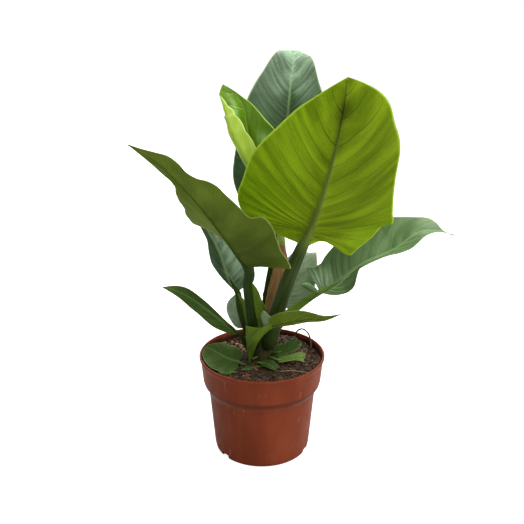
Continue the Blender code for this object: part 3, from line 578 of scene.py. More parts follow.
def new_group(name, values, outputs):
    """A node group that takes values and a Place and gives masks and heights, with its inputs' sockets."""
    tree = bpy.data.node_groups.new(name, "ShaderNodeTree")
    for key in values:
        tree.interface.new_socket(key, in_out="INPUT", socket_type="NodeSocketFloat")
    tree.interface.new_socket("Place", in_out="INPUT", socket_type="NodeSocketVector")
    for key in outputs:
        tree.interface.new_socket(key, in_out="OUTPUT", socket_type="NodeSocketFloat")
    return tree, add_node(tree, "NodeGroupInput").outputs


def attribute_node(tree, key):
    """One of the values that a piece's points carry."""
    return add_node(tree, "ShaderNodeAttribute", attribute_name=key).outputs["Fac"]


def streak_group():
    """Lengthwise streaks and small spots of a stalk.

    Round is the way round it, Along the way up it; out come the two masks and a height for a Bump.
    """
    tree, given = new_group("stalk_streaks", ("Round", "Along"), ("Streak", "Spots", "Height"))
    vector = add_node(tree, "ShaderNodeCombineXYZ", {0: given["Round"], 1: given["Along"]}).outputs[0]
    lines = add_node(tree, "ShaderNodeMapping", {"Vector": vector, "Scale": (9, 2.5, 1)}).outputs[0]
    streak = noise_node(tree, lines, 1.6, 5.0)
    spots = noise_node(tree, given["Place"], 420.0)
    height = math_node(tree, "ADD", streak, math_node(tree, "MULTIPLY", spots, 0.4))
    links = {"Streak": ramp_node(tree, streak, 0.35, 0.65), "Spots": ramp_node(tree, spots, 0.6, 0.72),
             "Height": height}
    add_node(tree, "NodeGroupOutput", links)
    return tree


STALK_STREAKS = streak_group()


def stalk_skin(name, low, high, edge, roughness=0.42, specular=0.35, change=(0.1, 0.9)):
    """The skin of a stalk: low colour at its foot, high at its top, edge colour in the streaks.

    Change says between which places along the stalk the low colour turns into the high one.
    """
    material, tree = new_material(name)
    along = attribute_node(tree, "run")
    links = {"Round": attribute_node(tree, "across"), "Along": along, "Place": place_node(tree)}
    masks = add_node(tree, "ShaderNodeGroup", links, node_tree=STALK_STREAKS).outputs
    colour = mix_node(tree, ramp_node(tree, along, *change), low, high)
    colour = mix_node(tree, math_node(tree, "MULTIPLY", masks["Streak"], 0.35), colour, edge)
    colour = mix_node(tree, math_node(tree, "MULTIPLY", masks["Spots"], 0.25), colour, edge)
    coat(tree, colour, roughness, specular, masks["Height"], 0.0004)
    return material


def plain_stalk(name, points, part, skin, slot, node):
    """A stalk as a piece of its own, with the values that its skin reads."""
    attributes = {key: part[key] for key in ("across", "run")}
    install(make_piece(name, points, part["faces"], [skin], attributes=attributes), slot, node)


def build_stem():
    """The stem: a lumpy stalk with raised rings where old leaves stood."""
    part = stalk(STEM_PATH, STEM_RADII, (0, -1, 0), 48, 90, ridges=0.03, seed=3)
    ring = 1 + 0.035 * np.sin(part["run"] * 60 + 2 * part["across"]) ** 8
    axis = smooth_curve(STEM_PATH, part["run"])[0]
    points = axis + (part["points"] - axis) * ring[:, None]
    skin = stalk_skin("stem_skin", (0.05, 0.028, 0.014, 1), (0.02, 0.035, 0.008, 1),
                      (0.10, 0.055, 0.025, 1), 0.6, 0.2)
    plain_stalk("short_stem", points, part, skin, "stem_green", "stem")


build_stem()

# ---------------------------------------------------------------- large front leaf
# The biggest leaf, seen from its underside with the light coming through it. Its bright underside is
# its own pale green with painted light in it, and a dark blotch near the tip is the painted shadow of the
# leaf behind. A philodendron leaf grows as one piece: a stout petiole runs on as the midrib, side veins
# leave it and curve forward, and a thin pale margin closes the blade.

# A leaf's values. path: petiole from inside the stem to the blade's joint, with its radii. rib: midrib
# from joint to tip. up: the way the upper face looks, from joint to tip. right, left: each margin as
# (distance from the midrib, place along it). fold: each half's rise from the midrib in degrees. curl:
# its further bend out to the span, 10 for both halves where it isn't given. veins: how many leave the
# midrib. quilt: how far the blade swells between them. Last, the patches of painted shade and painted
# light, darker or brighter areas, as (place across, place along, width, length, amount).
FRONT_LARGE = dict(
    path=[(5, -3, 108), (8, -12, 120), (11, -17, 136), (17, -22, 161), (27, -29, 195), (36, -34, 219)],
    radii=(6.2, 7.4, 7.3, 6.8, 6.2, 5.2),
    rib=[(36, -34, 219), (49, -44, 260), (59, -58, 307), (63, -66, 334), (66, -72, 367)],
    up=[(-0.15, 1, 0.15)],
    right=[(0, 0), (12, 0), (27, 0.01), (49, 0.035), (62, 0.08), (67, 0.13), (68, 0.29), (64.5, 0.49),
           (59, 0.57), (51.5, 0.65), (44, 0.73), (34, 0.82), (24, 0.88), (13, 0.94), (0, 1)],
    left=[(0, 0), (6, 0.005), (13.5, 0.035), (23, 0.035), (34, 0), (46, -0.03), (49.5, -0.031), (52, 0),
          (62, 0.09), (71.5, 0.18), (76, 0.18), (78.5, 0.186), (78.5, 0.2), (75, 0.235), (69, 0.32),
          (64, 0.43), (61.5, 0.53), (60, 0.59), (56, 0.66), (47, 0.76), (38, 0.87), (28.5, 0.925),
          (14.5, 0.97), (0, 1)],
    fold=(13, 5), curl=(4, 10), span=(70, 60), veins=18, lean=3.0, notch=0.9, quilt=0.3, seed=5,
    # Painted shade and light: a dark blotch near the tip stands for the shadow of the leaf behind, the rest
    # are lighter and darker areas.
    painted_light_and_shade=[(0, 0.83, 0.42, 0.08, -0.64), (0, 0.68, 0.14, 0.14, -0.3), (0.7, 0.3, 0.5, 0.3, 0.35),
             (-0.7, 0.45, 0.4, 0.3, -0.2), (-0.75, 0.1, 0.3, 0.1, 0.2), (0.3, 0.55, 0.2, 0.2, -0.12),
             (-0.3, 0.15, 0.3, 0.12, -0.15), (0.8, 0.75, 0.4, 0.15, 0.15)])
CURL = (10, 10)
BLADE_HALF = 0.28               # half the blade's thickness
GROOVE_WIDTH = 0.13             # a vein's groove, in spaces between veins
SWELL = 26                      # length of the blade's slow swells
CHANNEL_HALF = 1.6              # half the width of the channel along the upper face
# The petiole's last points inside the midrib: place along it, then depth and radius in ridges.
BURIED_ENDS = [(0.06, 0.25, 0.85), (0.14, 0.5, 0.55), (0.24, 0.55, 0.25)]


def blade_point(leaf, x, y, lift):
    """Place blade coordinates in space.

    x is the distance from the midrib, y the place along it, lift the height over the middle surface.
    The midrib is a smooth curve, run straight on behind the joint. Across it each half leaves at the
    fold angle and bends on as a circular arc, which reaches the curl angle at the span. A rolled left
    half turns over past its roll's start, by so many degrees a millimetre up to the roll's full turn,
    and runs straight from there.
    """
    length = curve_length(leaf["rib"])
    inside = np.clip(y, 0, 1)
    rib, along = smooth_curve(leaf["rib"], inside)
    rib = rib + along * (np.minimum(y, 0) * length)[:, None]
    up = unit(np.asarray(leaf["up"], float))
    up = np.stack([spread(up[:, k], inside) for k in range(3)], axis=-1)
    normal = unit(up - (up * along).sum(-1, keepdims=True) * along)
    side = np.cross(along, normal)
    is_right = x >= 0
    fold = np.radians(np.where(is_right, *(spread(f, inside) for f in leaf["fold"])))
    curl = np.radians(np.where(is_right, *leaf.get("curl", CURL)))
    bend = curl / np.where(is_right, *leaf["span"])
    starts, rates, full = leaf.get("roll", (1000, 1, 1))
    start = np.where(is_right, 1000, spread(starts, inside))
    rate = np.radians(spread(rates, inside))
    flat = np.minimum(np.abs(x), start)
    turned_over = np.clip(np.abs(x) - start, 0, np.radians(full) / rate)
    beyond = np.abs(x) - flat - turned_over
    leaves = fold + bend * flat
    angle = leaves + rate * turned_over
    reach = (np.sin(leaves) - np.sin(fold)) / bend + (np.sin(angle) - np.sin(leaves)) / rate
    rise = (np.cos(fold) - np.cos(leaves)) / bend + (np.cos(leaves) - np.cos(angle)) / rate
    reach = np.sign(x) * (reach + beyond * np.cos(angle))
    rise = rise + beyond * np.sin(angle)
    reach = reach - np.sign(x) * lift * np.sin(angle)
    rise = rise + lift * np.cos(angle)
    return rib + side * reach[:, None] + normal * rise[:, None]


def rib_ridge(leaf, place):
    """Depth of the midrib's ridge: the petiole's last radius, tapering to nothing at the tip."""
    return leaf["radii"][-1] * (1 - place) ** 1.6 * leaf.get("ridge", 0.85)


def blade(leaf, rows, columns):
    """A closed thin blade: upper and lower sheets that share their margin, joint and tip.

    The grid follows the veins: a row leaves the midrib at its place to the power of the lean, runs out
    and curves forward to the margin along a parabola; a notched base lifts the first rows on the
    midrib. Each sheet is sunk along the side veins and swells between them; the lower one carries the
    midrib as a rounded ridge, the upper one a channel.
    """
    length = curve_length(leaf["rib"])
    run = np.linspace(0, 1, rows + 1)[1:-1]
    leaves = (run ** leaf.get("lean", 2.2) + leaf.get("notch", 0.0) * run * (1 - run) ** 4)[:, None]
    out = (1 - np.cos(np.pi * np.linspace(0, 1, columns + 1))) / 2
    halves = []
    for name, sign in (("left", -1), ("right", 1)):
        margin = smooth_curve(np.asarray(leaf[name], float) * (1, length), run)[0] / (1, length)
        x = sign * np.maximum(margin[:, :1], 0.3) * out
        y = leaves + (margin[:, 1:] - leaves) * out * (0.4 + 0.6 * out)
        shift = 0.22 * np.sin(2 * np.pi * (2.3 * run + 0.31 * sign)) + 0.13 * np.sin(2 * np.pi * 5.1 * run)
        phase = np.repeat((run * leaf["veins"] + shift + 0.25 * sign)[:, None], columns + 1, axis=1)
        halves.append((x, y, phase, np.repeat(sign * out[None], len(run), axis=0)))
    x, y, phase, across = (np.hstack([left[:, ::-1], right[:, 1:]]) for left, right in zip(*halves))
    width = x.shape[1]
    near = np.abs((phase + 0.5) % 1 - 0.5)
    out = np.abs(across)
    fade = np.clip(out * 9, 0, 1) * (1 - out**5)
    relief = -leaf["quilt"] * (np.exp(-(near / GROOVE_WIDTH) ** 2) + 0.5 * np.cos(2 * np.pi * phase)) * fade
    relief += 0.5 * leaf["quilt"] * waves(x, y * length, leaf["seed"], 8, SWELL) * np.clip(out * 4, 0, 1)
    ridge = rib_ridge(leaf, np.clip(y, 0, 1)) + 0.35
    rib = np.exp(-(x / (0.95 * ridge)) ** 2)
    half = BLADE_HALF * np.sqrt(1 - out**10)
    channel = 0.35 * ridge * np.exp(-(x / CHANNEL_HALF) ** 2)
    upper = blade_point(leaf, x.ravel(), y.ravel(), (relief + half - channel).ravel())
    lower = blade_point(leaf, x.ravel(), y.ravel(), (relief - half - 0.9 * ridge * rib).ravel())
    ends = blade_point(leaf, np.array([0.01, 0.01]), np.array([0.0, 1.0]), np.zeros(2))
    count = x.size
    inner = np.zeros(x.shape, bool)
    inner[:, 1:-1] = True
    above = np.arange(count).reshape(x.shape)
    below = above.copy()
    below[inner] = count + 2 + np.arange(inner.sum())
    points = np.vstack([upper, ends, lower[inner.ravel()]])

    def sheet(number, flip):
        quads = np.stack([number[:-1, :-1], number[:-1, 1:], number[1:, 1:], number[1:, :-1]], -1)
        quads = quads.reshape(-1, 4)
        first, last = number[0], number[-1]
        joint = np.stack([np.full(width - 1, count), first[1:], first[:-1]], -1)
        tip = np.stack([np.full(width - 1, count + 1), last[:-1], last[1:]], -1)
        turn = -1 if flip else 1
        return quads[:, ::turn].tolist() + np.vstack([joint, tip])[:, ::turn].tolist()

    upper_faces, lower_faces = sheet(above, False), sheet(below, True)
    # Painted shade and painted light: the leaf's patches, summed into one value for each point.
    shade = np.zeros(x.shape)
    for place, at, wide, long, amount in leaf.get("painted_light_and_shade", ()):
        shade += amount * np.exp(-((across - place) / wide) ** 2 - ((y - at) / long) ** 2)

    def both(values, joint, tip):
        return np.concatenate([values.ravel(), [joint, tip], values[inner]])

    return dict(points=points, faces=upper_faces + lower_faces,
                slots=[0] * len(upper_faces) + [1] * len(lower_faces),
                across=both(across, 0, 0), vein=both(phase, 0, leaf["veins"]), rib=both(rib, 1, 1),
                shade=both(shade, 0, 0))


def petiole(leaf, sides, rows):
    """The petiole: a channelled stalk up its path, run on inside the midrib's ridge until it ends in it."""
    ahead, depth, radius = np.array(BURIED_ENDS).T
    rib, along = smooth_curve(leaf["rib"], ahead)
    up = unit(np.asarray(leaf["up"], float))[0]
    under = unit(up - (along @ up)[:, None] * along)
    ridge = rib_ridge(leaf, ahead)
    path = np.vstack([leaf["path"], rib - under * (ridge * depth)[:, None]])
    steps = np.linalg.norm(np.diff(path, axis=0), axis=1)
    knots = np.concatenate([[0], np.cumsum(steps)]) / steps.sum()
    radii = np.interp(np.linspace(0, 1, 40), knots, [*leaf["radii"], *(ridge * radius)])
    return stalk(path, radii, up, sides, rows, leaf.get("squash", 1.0), 0.16, 0.012, leaf["seed"])


def vein_group():
    """The pattern of a leaf's face.

    Vein counts the side veins passed from the joint, Across runs from -1 to 1 between the margins, Rib
    is 1 on the midrib. Out come the masks of veins, fine veins, midrib, margin and mottling, and a
    height for a Bump.
    """
    tree, given = new_group("leaf_veins", ("Vein", "Across", "Rib"),
                            ("Veins", "Fine", "Midrib", "Margin", "Mottle", "Height"))
    out = math_node(tree, "ABSOLUTE", given["Across"])
    wobble = noise_node(tree, given["Place"], 45.0)
    phase = math_node(tree, "MULTIPLY_ADD", math_node(tree, "SUBTRACT", wobble, 0.5), 0.22, given["Vein"])
    near = math_node(tree, "ABSOLUTE", math_node(tree, "SUBTRACT", math_node(tree, "FRACT", phase), 0.5))
    primary = ramp_node(tree, near, ramp_node(tree, out, 0.0, 1.0, 0.43, 0.46), 0.5)
    faint = ramp_node(tree, out, 0.75, 1.0, 1.0, 0.1)
    veins = math_node(tree, "MULTIPLY", primary, faint)
    parallel = math_node(tree, "FRACT", math_node(tree, "MULTIPLY", phase, 6.0))
    fine = ramp_node(tree, math_node(tree, "ABSOLUTE", math_node(tree, "SUBTRACT", parallel, 0.5)), 0.3, 0.5)
    stretched = math_node(tree, "MULTIPLY", given["Across"], 0.9)
    streaked = add_node(tree, "ShaderNodeCombineXYZ", {0: stretched, 1: given["Vein"]}).outputs[0]
    streak = noise_node(tree, streaked, 1.1, 4.0)
    cells = noise_node(tree, given["Place"], 700.0, 3.0)
    mottle = math_node(tree, "MULTIPLY_ADD", math_node(tree, "SUBTRACT", cells, 0.5), 0.25, streak)
    height = math_node(tree, "MULTIPLY_ADD", fine, -0.25, math_node(tree, "MULTIPLY", cells, 0.35))
    links = {"Veins": veins, "Fine": math_node(tree, "MULTIPLY", fine, faint), "Midrib": given["Rib"],
             "Margin": ramp_node(tree, out, 0.972, 0.992), "Mottle": ramp_node(tree, mottle, 0.3, 0.7),
             "Height": math_node(tree, "SUBTRACT", height, veins)}
    add_node(tree, "NodeGroupOutput", links)
    return tree


LEAF_VEINS = vein_group()
GLOW = (1.9, 2.0, 1.2, 1)        # of the light that comes through a blade


def leaf_skin(name, colour, light, vein, rib, margin, strength=0.5, fine=0.2, mottle=0.5,
              roughness=0.45, specular=0.4, through=0.0, painted_sheen=None):
    """One face of a blade: its colour, mottled with a lighter one, then veins, midrib and margin over it.

    The leaf's patches of painted shade and painted light darken or brighten the colour, or, on a face
    given a painted sheen colour, the bright ones lay that sheen over it. Through is the share of light that
    passes, in the face's own colour and brighter.
    """
    material, tree = new_material(name)
    links = {"Vein": attribute_node(tree, "vein"), "Across": attribute_node(tree, "across"),
             "Rib": attribute_node(tree, "rib"), "Place": place_node(tree)}
    masks = add_node(tree, "ShaderNodeGroup", links, node_tree=LEAF_VEINS).outputs
    paint = mix_node(tree, math_node(tree, "MULTIPLY", masks["Mottle"], mottle), colour, light)
    paint = mix_node(tree, math_node(tree, "MULTIPLY", masks["Fine"], fine), paint, vein)
    paint = mix_node(tree, math_node(tree, "MULTIPLY", masks["Veins"], strength), paint, vein)
    paint = mix_node(tree, masks["Midrib"], paint, rib)
    # Painted shade and painted light from the leaf's patches darken or brighten the paint.
    shade = attribute_node(tree, "shade")
    level = math_node(tree, "ADD", math_node(tree, "MINIMUM", shade, 0.0) if painted_sheen else shade, 1.0)
    tone = add_node(tree, "ShaderNodeCombineColor", {0: level, 1: level, 2: level}).outputs[0]
    paint = mix_node(tree, 1.0, paint, tone, "MULTIPLY")
    # Painted sheen: on a face given a sheen colour, the bright patches mix that colour in.
    if painted_sheen:
        sheen_amount = math_node(tree, "MULTIPLY", math_node(tree, "MAXIMUM", shade, 0.0),
                          ramp_node(tree, masks["Mottle"], 0.0, 1.0, 0.6, 1.2))
        paint = mix_node(tree, ramp_node(tree, sheen_amount, 0.0, 1.1), paint, painted_sheen)
    paint = mix_node(tree, masks["Margin"], paint, margin)
    normal = coat(tree, paint, roughness, specular, masks["Height"], 0.0005)
    if through:
        passed = mix_node(tree, 1.0, paint, GLOW, "MULTIPLY")
        passed = add_node(tree, "ShaderNodeBsdfTranslucent", {"Color": passed, "Normal": normal}).outputs[0]
        faced = tree.nodes["Principled BSDF"].outputs[0]
        both = add_node(tree, "ShaderNodeMixShader", {0: through, 1: faced, 2: passed}).outputs[0]
        connect(tree, tree.nodes["Material Output"], {"Surface": both})
    return material


def grow(name, leaf, skins, slot, node, size=(150, 36), extra=()):
    """One leaf as one piece: blade, petiole and any sheath parts, with its own patterns as attributes."""
    sides, rows = (36, 90) if size[0] > 100 else (24, 50)
    stem_part = petiole(leaf, sides, rows)
    stem_part["slots"] = [2] * len(stem_part["faces"])
    points, faces, slots, start = [], [], [], 0
    values = {key: [] for key in ("across", "run", "vein", "rib", "shade")}
    for part in (blade(leaf, *size), stem_part, *extra):
        points.append(part["points"])
        faces.extend([[number + start for number in face] for face in part["faces"]])
        slots.extend(part["slots"])
        for key in values:
            values[key].append(part.get(key, np.zeros(len(part["points"]))))
        start += len(part["points"])
    attributes = {key: np.concatenate(lists) for key, lists in values.items()}
    install(make_piece(name, np.vstack(points), faces, skins, slots, attributes), slot, node)


# The underside's pale yellow-green is lifted to the glow of light through the blade: its own colour with
# painted light in it.
PAINTED_GLOW_UNDERSIDE = leaf_skin(
    "painted_glow_underside", (0.16, 0.235, 0.004, 1), (0.335, 0.445, 0.012, 1), (0.095, 0.14, 0.005, 1),
    (0.14, 0.18, 0.03, 1), (0.36, 0.45, 0.07, 1), strength=0.7, fine=0.16, mottle=0.8, roughness=0.55,
    specular=0.06, through=0.4)
BRIGHT_UPPER = leaf_skin(
    "bright_upper", (0.05, 0.12, 0.012, 1), (0.09, 0.19, 0.025, 1), (0.14, 0.24, 0.06, 1),
    (0.16, 0.25, 0.06, 1), (0.4, 0.52, 0.12, 1), strength=0.5, roughness=0.32, specular=0.5,
    through=0.4)
# Near black below the joint: the petiole's own dark green darkened further to the shade on it, painted shade.
DARK_STALK = stalk_skin(
    "dark_stalk", (0.018, 0.034, 0.004, 1), (0.11, 0.15, 0.025, 1), (0.07, 0.1, 0.025, 1),
    0.55, 0.08, (0.68, 0.84))
grow("front_large_leaf", FRONT_LARGE, [BRIGHT_UPPER, PAINTED_GLOW_UNDERSIDE, DARK_STALK], "leaf_bright",
     "leaf_front_large", (200, 44))

# ---------------------------------------------------------------- large left leaf
# It leans to the left over the pot and turns its underside to the front: one half hangs forward in a
# wide lobe, the other folds back behind the midrib. A soft sheath edge runs up its petiole.
LEFT_LARGE = dict(
    path=[(-5, -1, 106), (-10, -8, 116), (-9, -14, 133), (-11, -20, 156), (-13, -28, 179), (-13, -36, 198)],
    radii=(4.0, 5.0, 5.4, 4.8, 4.2, 3.8),
    rib=[(-13, -36, 198), (-33, -42, 230), (-61, -50, 269), (-85, -56, 296), (-108, -62, 313)],
    up=[(0.3, 0.8, 0.6)],
    right=[(0, 0), (8, 0.04), (13, 0.13), (20, 0.21), (33, 0.26), (41, 0.29), (37, 0.35), (32, 0.42),
           (23, 0.48), (19.5, 0.54), (13.5, 0.6), (8, 0.635), (6.5, 0.68), (7.5, 0.74), (6.5, 0.82),
           (4, 0.91), (0, 1)],
    left=[(0, 0), (16, 0.017), (30, 0.005), (43, -0.02), (51, -0.025), (53, 0.03), (52, 0.09), (55, 0.17),
          (58, 0.25), (56, 0.305), (43, 0.33), (39.5, 0.41), (36, 0.5), (35, 0.545), (30, 0.595),
          (22, 0.635), (17.5, 0.69), (18, 0.75), (16.5, 0.81), (11, 0.86), (4.5, 0.925), (0, 1)],
    fold=((55, 12, 0, 0), (-14, -8, 0)), curl=(12, 8), span=(35, 35), ridge=0.7,
    veins=12, quilt=0.25, seed=8,
    # Patches of painted shade, darkest near the joint, and of painted light.
    painted_light_and_shade=[(-0.4, 0.06, 0.6, 0.16, -0.5), (-0.7, 0.5, 0.4, 0.12, 0.2), (0.6, 0.3, 0.4, 0.2, 0.25),
             (-0.6, 0.85, 0.6, 0.12, 0.3), (-0.2, 0.35, 0.3, 0.08, -0.15)])


def thin_shell(middle, half):
    """A closed thin sheet about a grid of points: two faces half the thickness away, sharing the border."""
    rows, columns = middle.shape[:2]
    normal = unit(np.cross(np.gradient(middle, axis=0), np.gradient(middle, axis=1)))
    above = np.arange(rows * columns).reshape(rows, columns)
    inner = np.zeros((rows, columns), bool)
    inner[1:-1, 1:-1] = True
    below = above.copy()
    below[inner] = rows * columns + np.arange(inner.sum())
    depth = np.where(inner, half, 0.0)[..., None]
    points = np.vstack([(middle + normal * depth).reshape(-1, 3), (middle - normal * depth)[inner]])

    def sheet(number):
        quads = np.stack([number[:-1, :-1], number[1:, :-1], number[1:, 1:], number[:-1, 1:]], -1)
        return quads.reshape(-1, 4)

    return points, sheet(above).tolist() + sheet(below)[:, ::-1].tolist(), inner


def web(inner, outer, bow, face=3, rows=40, columns=12):
    """A thin closed web between two smooth edges, bowed out of the flat by a parabola across it."""
    places = np.linspace(0, 1, rows + 1)
    out = np.linspace(0, 1, columns + 1)[None, :, None]
    first, second = (smooth_curve(edge, places)[0][:, None] for edge in (inner, outer))
    flat = first * (1 - out) + second * out
    normal = unit(np.cross(np.gradient(flat, axis=0), np.gradient(flat, axis=1)))
    points, faces, inside = thin_shell(flat + normal * bow * 4 * out * (1 - out), 0.3)
    across = np.repeat(out[..., 0] * 2 - 1, rows + 1, axis=0)
    run = np.repeat(places[:, None], columns + 1, axis=1)
    across, run = (np.concatenate([grid.ravel(), grid[inside]]) for grid in (across, run))
    return dict(points=points, faces=faces, slots=[face] * len(faces), across=across, run=run,
                vein=run * 5 + 0.5)


LEFT_WING = web([(-11, -29, 183), (-10, -25, 168), (-9, -22, 157), (-8, -17, 138), (-8, -12, 122)],
                [(-10.5, -29, 184), (-3.6, -26, 173), (0, -23, 162), (4, -19, 152), (3, -13, 135)], 1.0)
OLIVE_UNDERSIDE = leaf_skin(
    "olive_underside", (0.085, 0.13, 0.008, 1), (0.14, 0.2, 0.018, 1), (0.15, 0.21, 0.035, 1),
    (0.045, 0.075, 0.006, 1), (0.3, 0.37, 0.1, 1), strength=0.3, fine=0.1, mottle=0.8, roughness=0.6,
    specular=0.06, through=0.12)
# Its last colour is a painted sheen, which the leaf's bright patches lay on.
DARK_UPPER = leaf_skin(
    "dark_upper", (0.022, 0.05, 0.014, 1), (0.045, 0.09, 0.03, 1), (0.11, 0.18, 0.09, 1),
    (0.13, 0.21, 0.09, 1), (0.2, 0.28, 0.12, 1), fine=0.3, mottle=0.7, roughness=0.42,
    specular=0.25, through=0.05, painted_sheen=(0.3, 0.44, 0.27, 1))
# Near black all along: the petioles' dark green taken down to the shade of the crown where they gather,
# painted shade.
OLIVE_STALK = stalk_skin(
    "olive_stalk", (0.007, 0.018, 0.001, 1), (0.014, 0.03, 0.002, 1), (0.04, 0.07, 0.008, 1), 0.55, 0.08)
WING_SKIN = stalk_skin(
    "wing_skin", (0.035, 0.075, 0.004, 1), (0.085, 0.135, 0.01, 1), (0.18, 0.27, 0.03, 1), 0.55, 0.08)
grow("left_large_leaf", LEFT_LARGE, [DARK_UPPER, OLIVE_UNDERSIDE, OLIVE_STALK, WING_SKIN], "leaf_olive",
     "leaf_left_large", (180, 36), [LEFT_WING])

# ---------------------------------------------------------------- tall back leaf
# The tallest leaf stands at the back with its upper face forward and bends away at the top, where a
# painted sheen stands for the light it catches.
BACK_TALL = dict(
    path=[(2, 9, 118), (5, 12, 150), (13, 17, 195), (20, 22, 236)],
    radii=(4.0, 4.4, 4.4, 4.0),
    rib=[(20, 22, 236), (22, 32, 279), (24, 42, 320), (27, 52, 350), (31, 64, 373), (36, 88, 366)],
    up=[(0, -1, 0.35), (0, -0.9, 0.6), (0, -0.3, 1), (0, 0.4, 1)],
    right=[(0, 0), (15, 0), (34, 0.03), (50, 0.14), (52, 0.33), (43, 0.5), (30, 0.63), (19, 0.78),
           (9, 0.9), (0, 1)],
    left=[(0, 0), (15, -0.04), (34, -0.01), (48, 0.12), (48, 0.31), (39, 0.56), (26, 0.73), (17, 0.84),
          (8, 0.93), (0, 1)],
    fold=((10, 10, 10, 5, -18, -34), (10, 10, 10, 10, 2, -4)), span=(50, 50), veins=56,
    quilt=0.03, seed=13,
    # Painted sheen over the top and in smaller patches lower down; a painted shadow along the midrib below
    # the middle.
    painted_light_and_shade=[(0, 0.95, 1.6, 0.2, 1.2), (0.4, 0.66, 0.4, 0.1, 0.35), (-0.4, 0.62, 0.35, 0.1, 0.25),
             (0, 0.72, 0.2, 0.08, 0.3), (0.8, 0.42, 0.3, 0.2, 0.2), (-0.75, 0.45, 0.3, 0.2, 0.15),
             (0, 0.48, 0.22, 0.13, -0.55)])
# Its last colour is a painted sheen, which the leaf's bright patches lay on.
SHEEN_PAINTED_UPPER = leaf_skin(
    "sheen_painted_upper", (0.018, 0.045, 0.012, 1), (0.035, 0.075, 0.022, 1), (0.24, 0.34, 0.2, 1),
    (0.14, 0.24, 0.09, 1), (0.2, 0.28, 0.12, 1), strength=0.45, fine=0.05, mottle=0.7, roughness=0.42,
    specular=0.25, through=0.05, painted_sheen=(0.3, 0.44, 0.28, 1))
DARK_UNDERSIDE = leaf_skin(
    "dark_underside", (0.045, 0.08, 0.022, 1), (0.08, 0.12, 0.04, 1), (0.10, 0.15, 0.06, 1),
    (0.08, 0.12, 0.035, 1), (0.2, 0.28, 0.11, 1), strength=0.35, roughness=0.55, specular=0.2,
    through=0.08)
grow("back_tall_leaf", BACK_TALL, [SHEEN_PAINTED_UPPER, DARK_UNDERSIDE, OLIVE_STALK], "leaf_dark",
     "leaf_back_tall", (180, 36))

# ---------------------------------------------------------------- unfurling leaf
# The youngest leaf, lime green and still half rolled: its left half curls forward over its glossy
# inside and shows the pale underside as a band. Patches of painted sheen and painted shade lie on it.
UNFURLING = dict(
    path=[(1, 1, 120), (8, 1, 148), (16, 0, 182), (18.5, 0, 202), (17, 0, 216)],
    radii=(3.4, 3.6, 3.6, 3.4, 3.2),
    rib=[(17, 0, 216), (0, -2, 268), (-12, -4, 309), (-17, -6, 336), (-33, -8, 353)],
    up=[(0.1, -1, 0.1)],
    right=[(0, 0), (12, 0.08), (21, 0.22), (26, 0.42), (25, 0.62), (22.5, 0.69), (14.5, 0.76), (8, 0.82),
           (4, 0.87), (2, 0.93), (0, 1)],
    left=[(0, 0), (12, 0.1), (23, 0.3), (28, 0.46), (33, 0.56), (36, 0.66), (35, 0.72), (31.5, 0.79),
          (26, 0.86), (21, 0.91), (15.5, 0.95), (10.5, 0.98), (0, 1)],
    fold=(10, 10), span=(25, 38),
    roll=((2, 2, 2.5, 3, 4, 6.5, 9.5, 14, 17.3, 15.2, 7), (12, 12, 12, 12, 12, 12, 12, 15, 26, 50, 60), 175),
    veins=16, quilt=0.2, seed=21,
    # Patches of painted sheen and of painted shade.
    painted_light_and_shade=[(-0.5, 0.75, 0.2, 0.2, 0.7), (0.75, 0.58, 0.3, 0.08, 0.8), (0.6, 0.3, 0.5, 0.12, 0.8),
             (0.35, 0.45, 0.3, 0.06, -0.3), (0.2, 0.7, 0.2, 0.15, -0.2)])
# Its last colour is a painted sheen, which the leaf's bright patches lay on.
LIME_UPPER = leaf_skin(
    "lime_upper", (0.1, 0.18, 0.004, 1), (0.16, 0.27, 0.01, 1), (0.2, 0.32, 0.05, 1),
    (0.2, 0.33, 0.05, 1), (0.5, 0.64, 0.2, 1), strength=0.25, fine=0.1, roughness=0.28, specular=0.5,
    through=0.25, painted_sheen=(0.4, 0.52, 0.3, 1))
LIME_UNDERSIDE = leaf_skin(
    "lime_underside", (0.48, 0.64, 0.06, 1), (0.62, 0.78, 0.2, 1), (0.4, 0.55, 0.05, 1),
    (0.5, 0.65, 0.12, 1), (0.7, 0.8, 0.35, 1), strength=0.25, fine=0.1, roughness=0.4, specular=0.2,
    through=0.35)
LIME_STALK = stalk_skin("lime_stalk", (0.12, 0.2, 0.02, 1), (0.25, 0.38, 0.04, 1), (0.3, 0.42, 0.08, 1))
grow("unfurling_leaf", UNFURLING, [LIME_UPPER, LIME_UNDERSIDE, LIME_STALK], "leaf_lime",
     "leaf_unfurling", (170, 44))

# ---------------------------------------------------------------- left back leaf
# A dark leaf behind the left one, folded along its midrib, so that its two halves take the light
# differently; one half is painted darker and the other lighter, as painted shade and light.
LEFT_BACK = dict(
    path=[(-3, 8, 107), (-12, 5, 117), (-17, 3, 131), (-21, 3, 146), (-23, 6, 158)],
    radii=(3.6, 4.0, 4.2, 3.4, 2.8),
    rib=[(-23, 6, 158), (-32, 6, 176), (-40, 8, 199), (-51, 12, 219), (-63, 16, 239)],
    up=[(0.3, -1, 0.3)],
    right=[(0, 0), (5, 0.03), (11, 0.02), (16.5, 0.01), (22, 0.07), (25, 0.16), (27, 0.28), (27, 0.48),
           (19, 0.75), (8, 0.93), (0, 1)],
    left=[(0, 0), (1, 0.05), (4.5, 0.15), (8, 0.27), (12, 0.41), (10.5, 0.51), (6, 0.64), (5, 0.75),
          (4, 0.9), (0, 1)],
    fold=(12, 12), span=(25, 15), veins=14, quilt=0.3, seed=31,
    # Painted shade on one half, painted light on the other and at the left margin.
    painted_light_and_shade=[(-0.5, 0.5, 0.4, 0.6, -0.3), (0.5, 0.5, 0.5, 0.6, 0.8), (-0.9, 0.3, 0.2, 0.15, 0.3)])
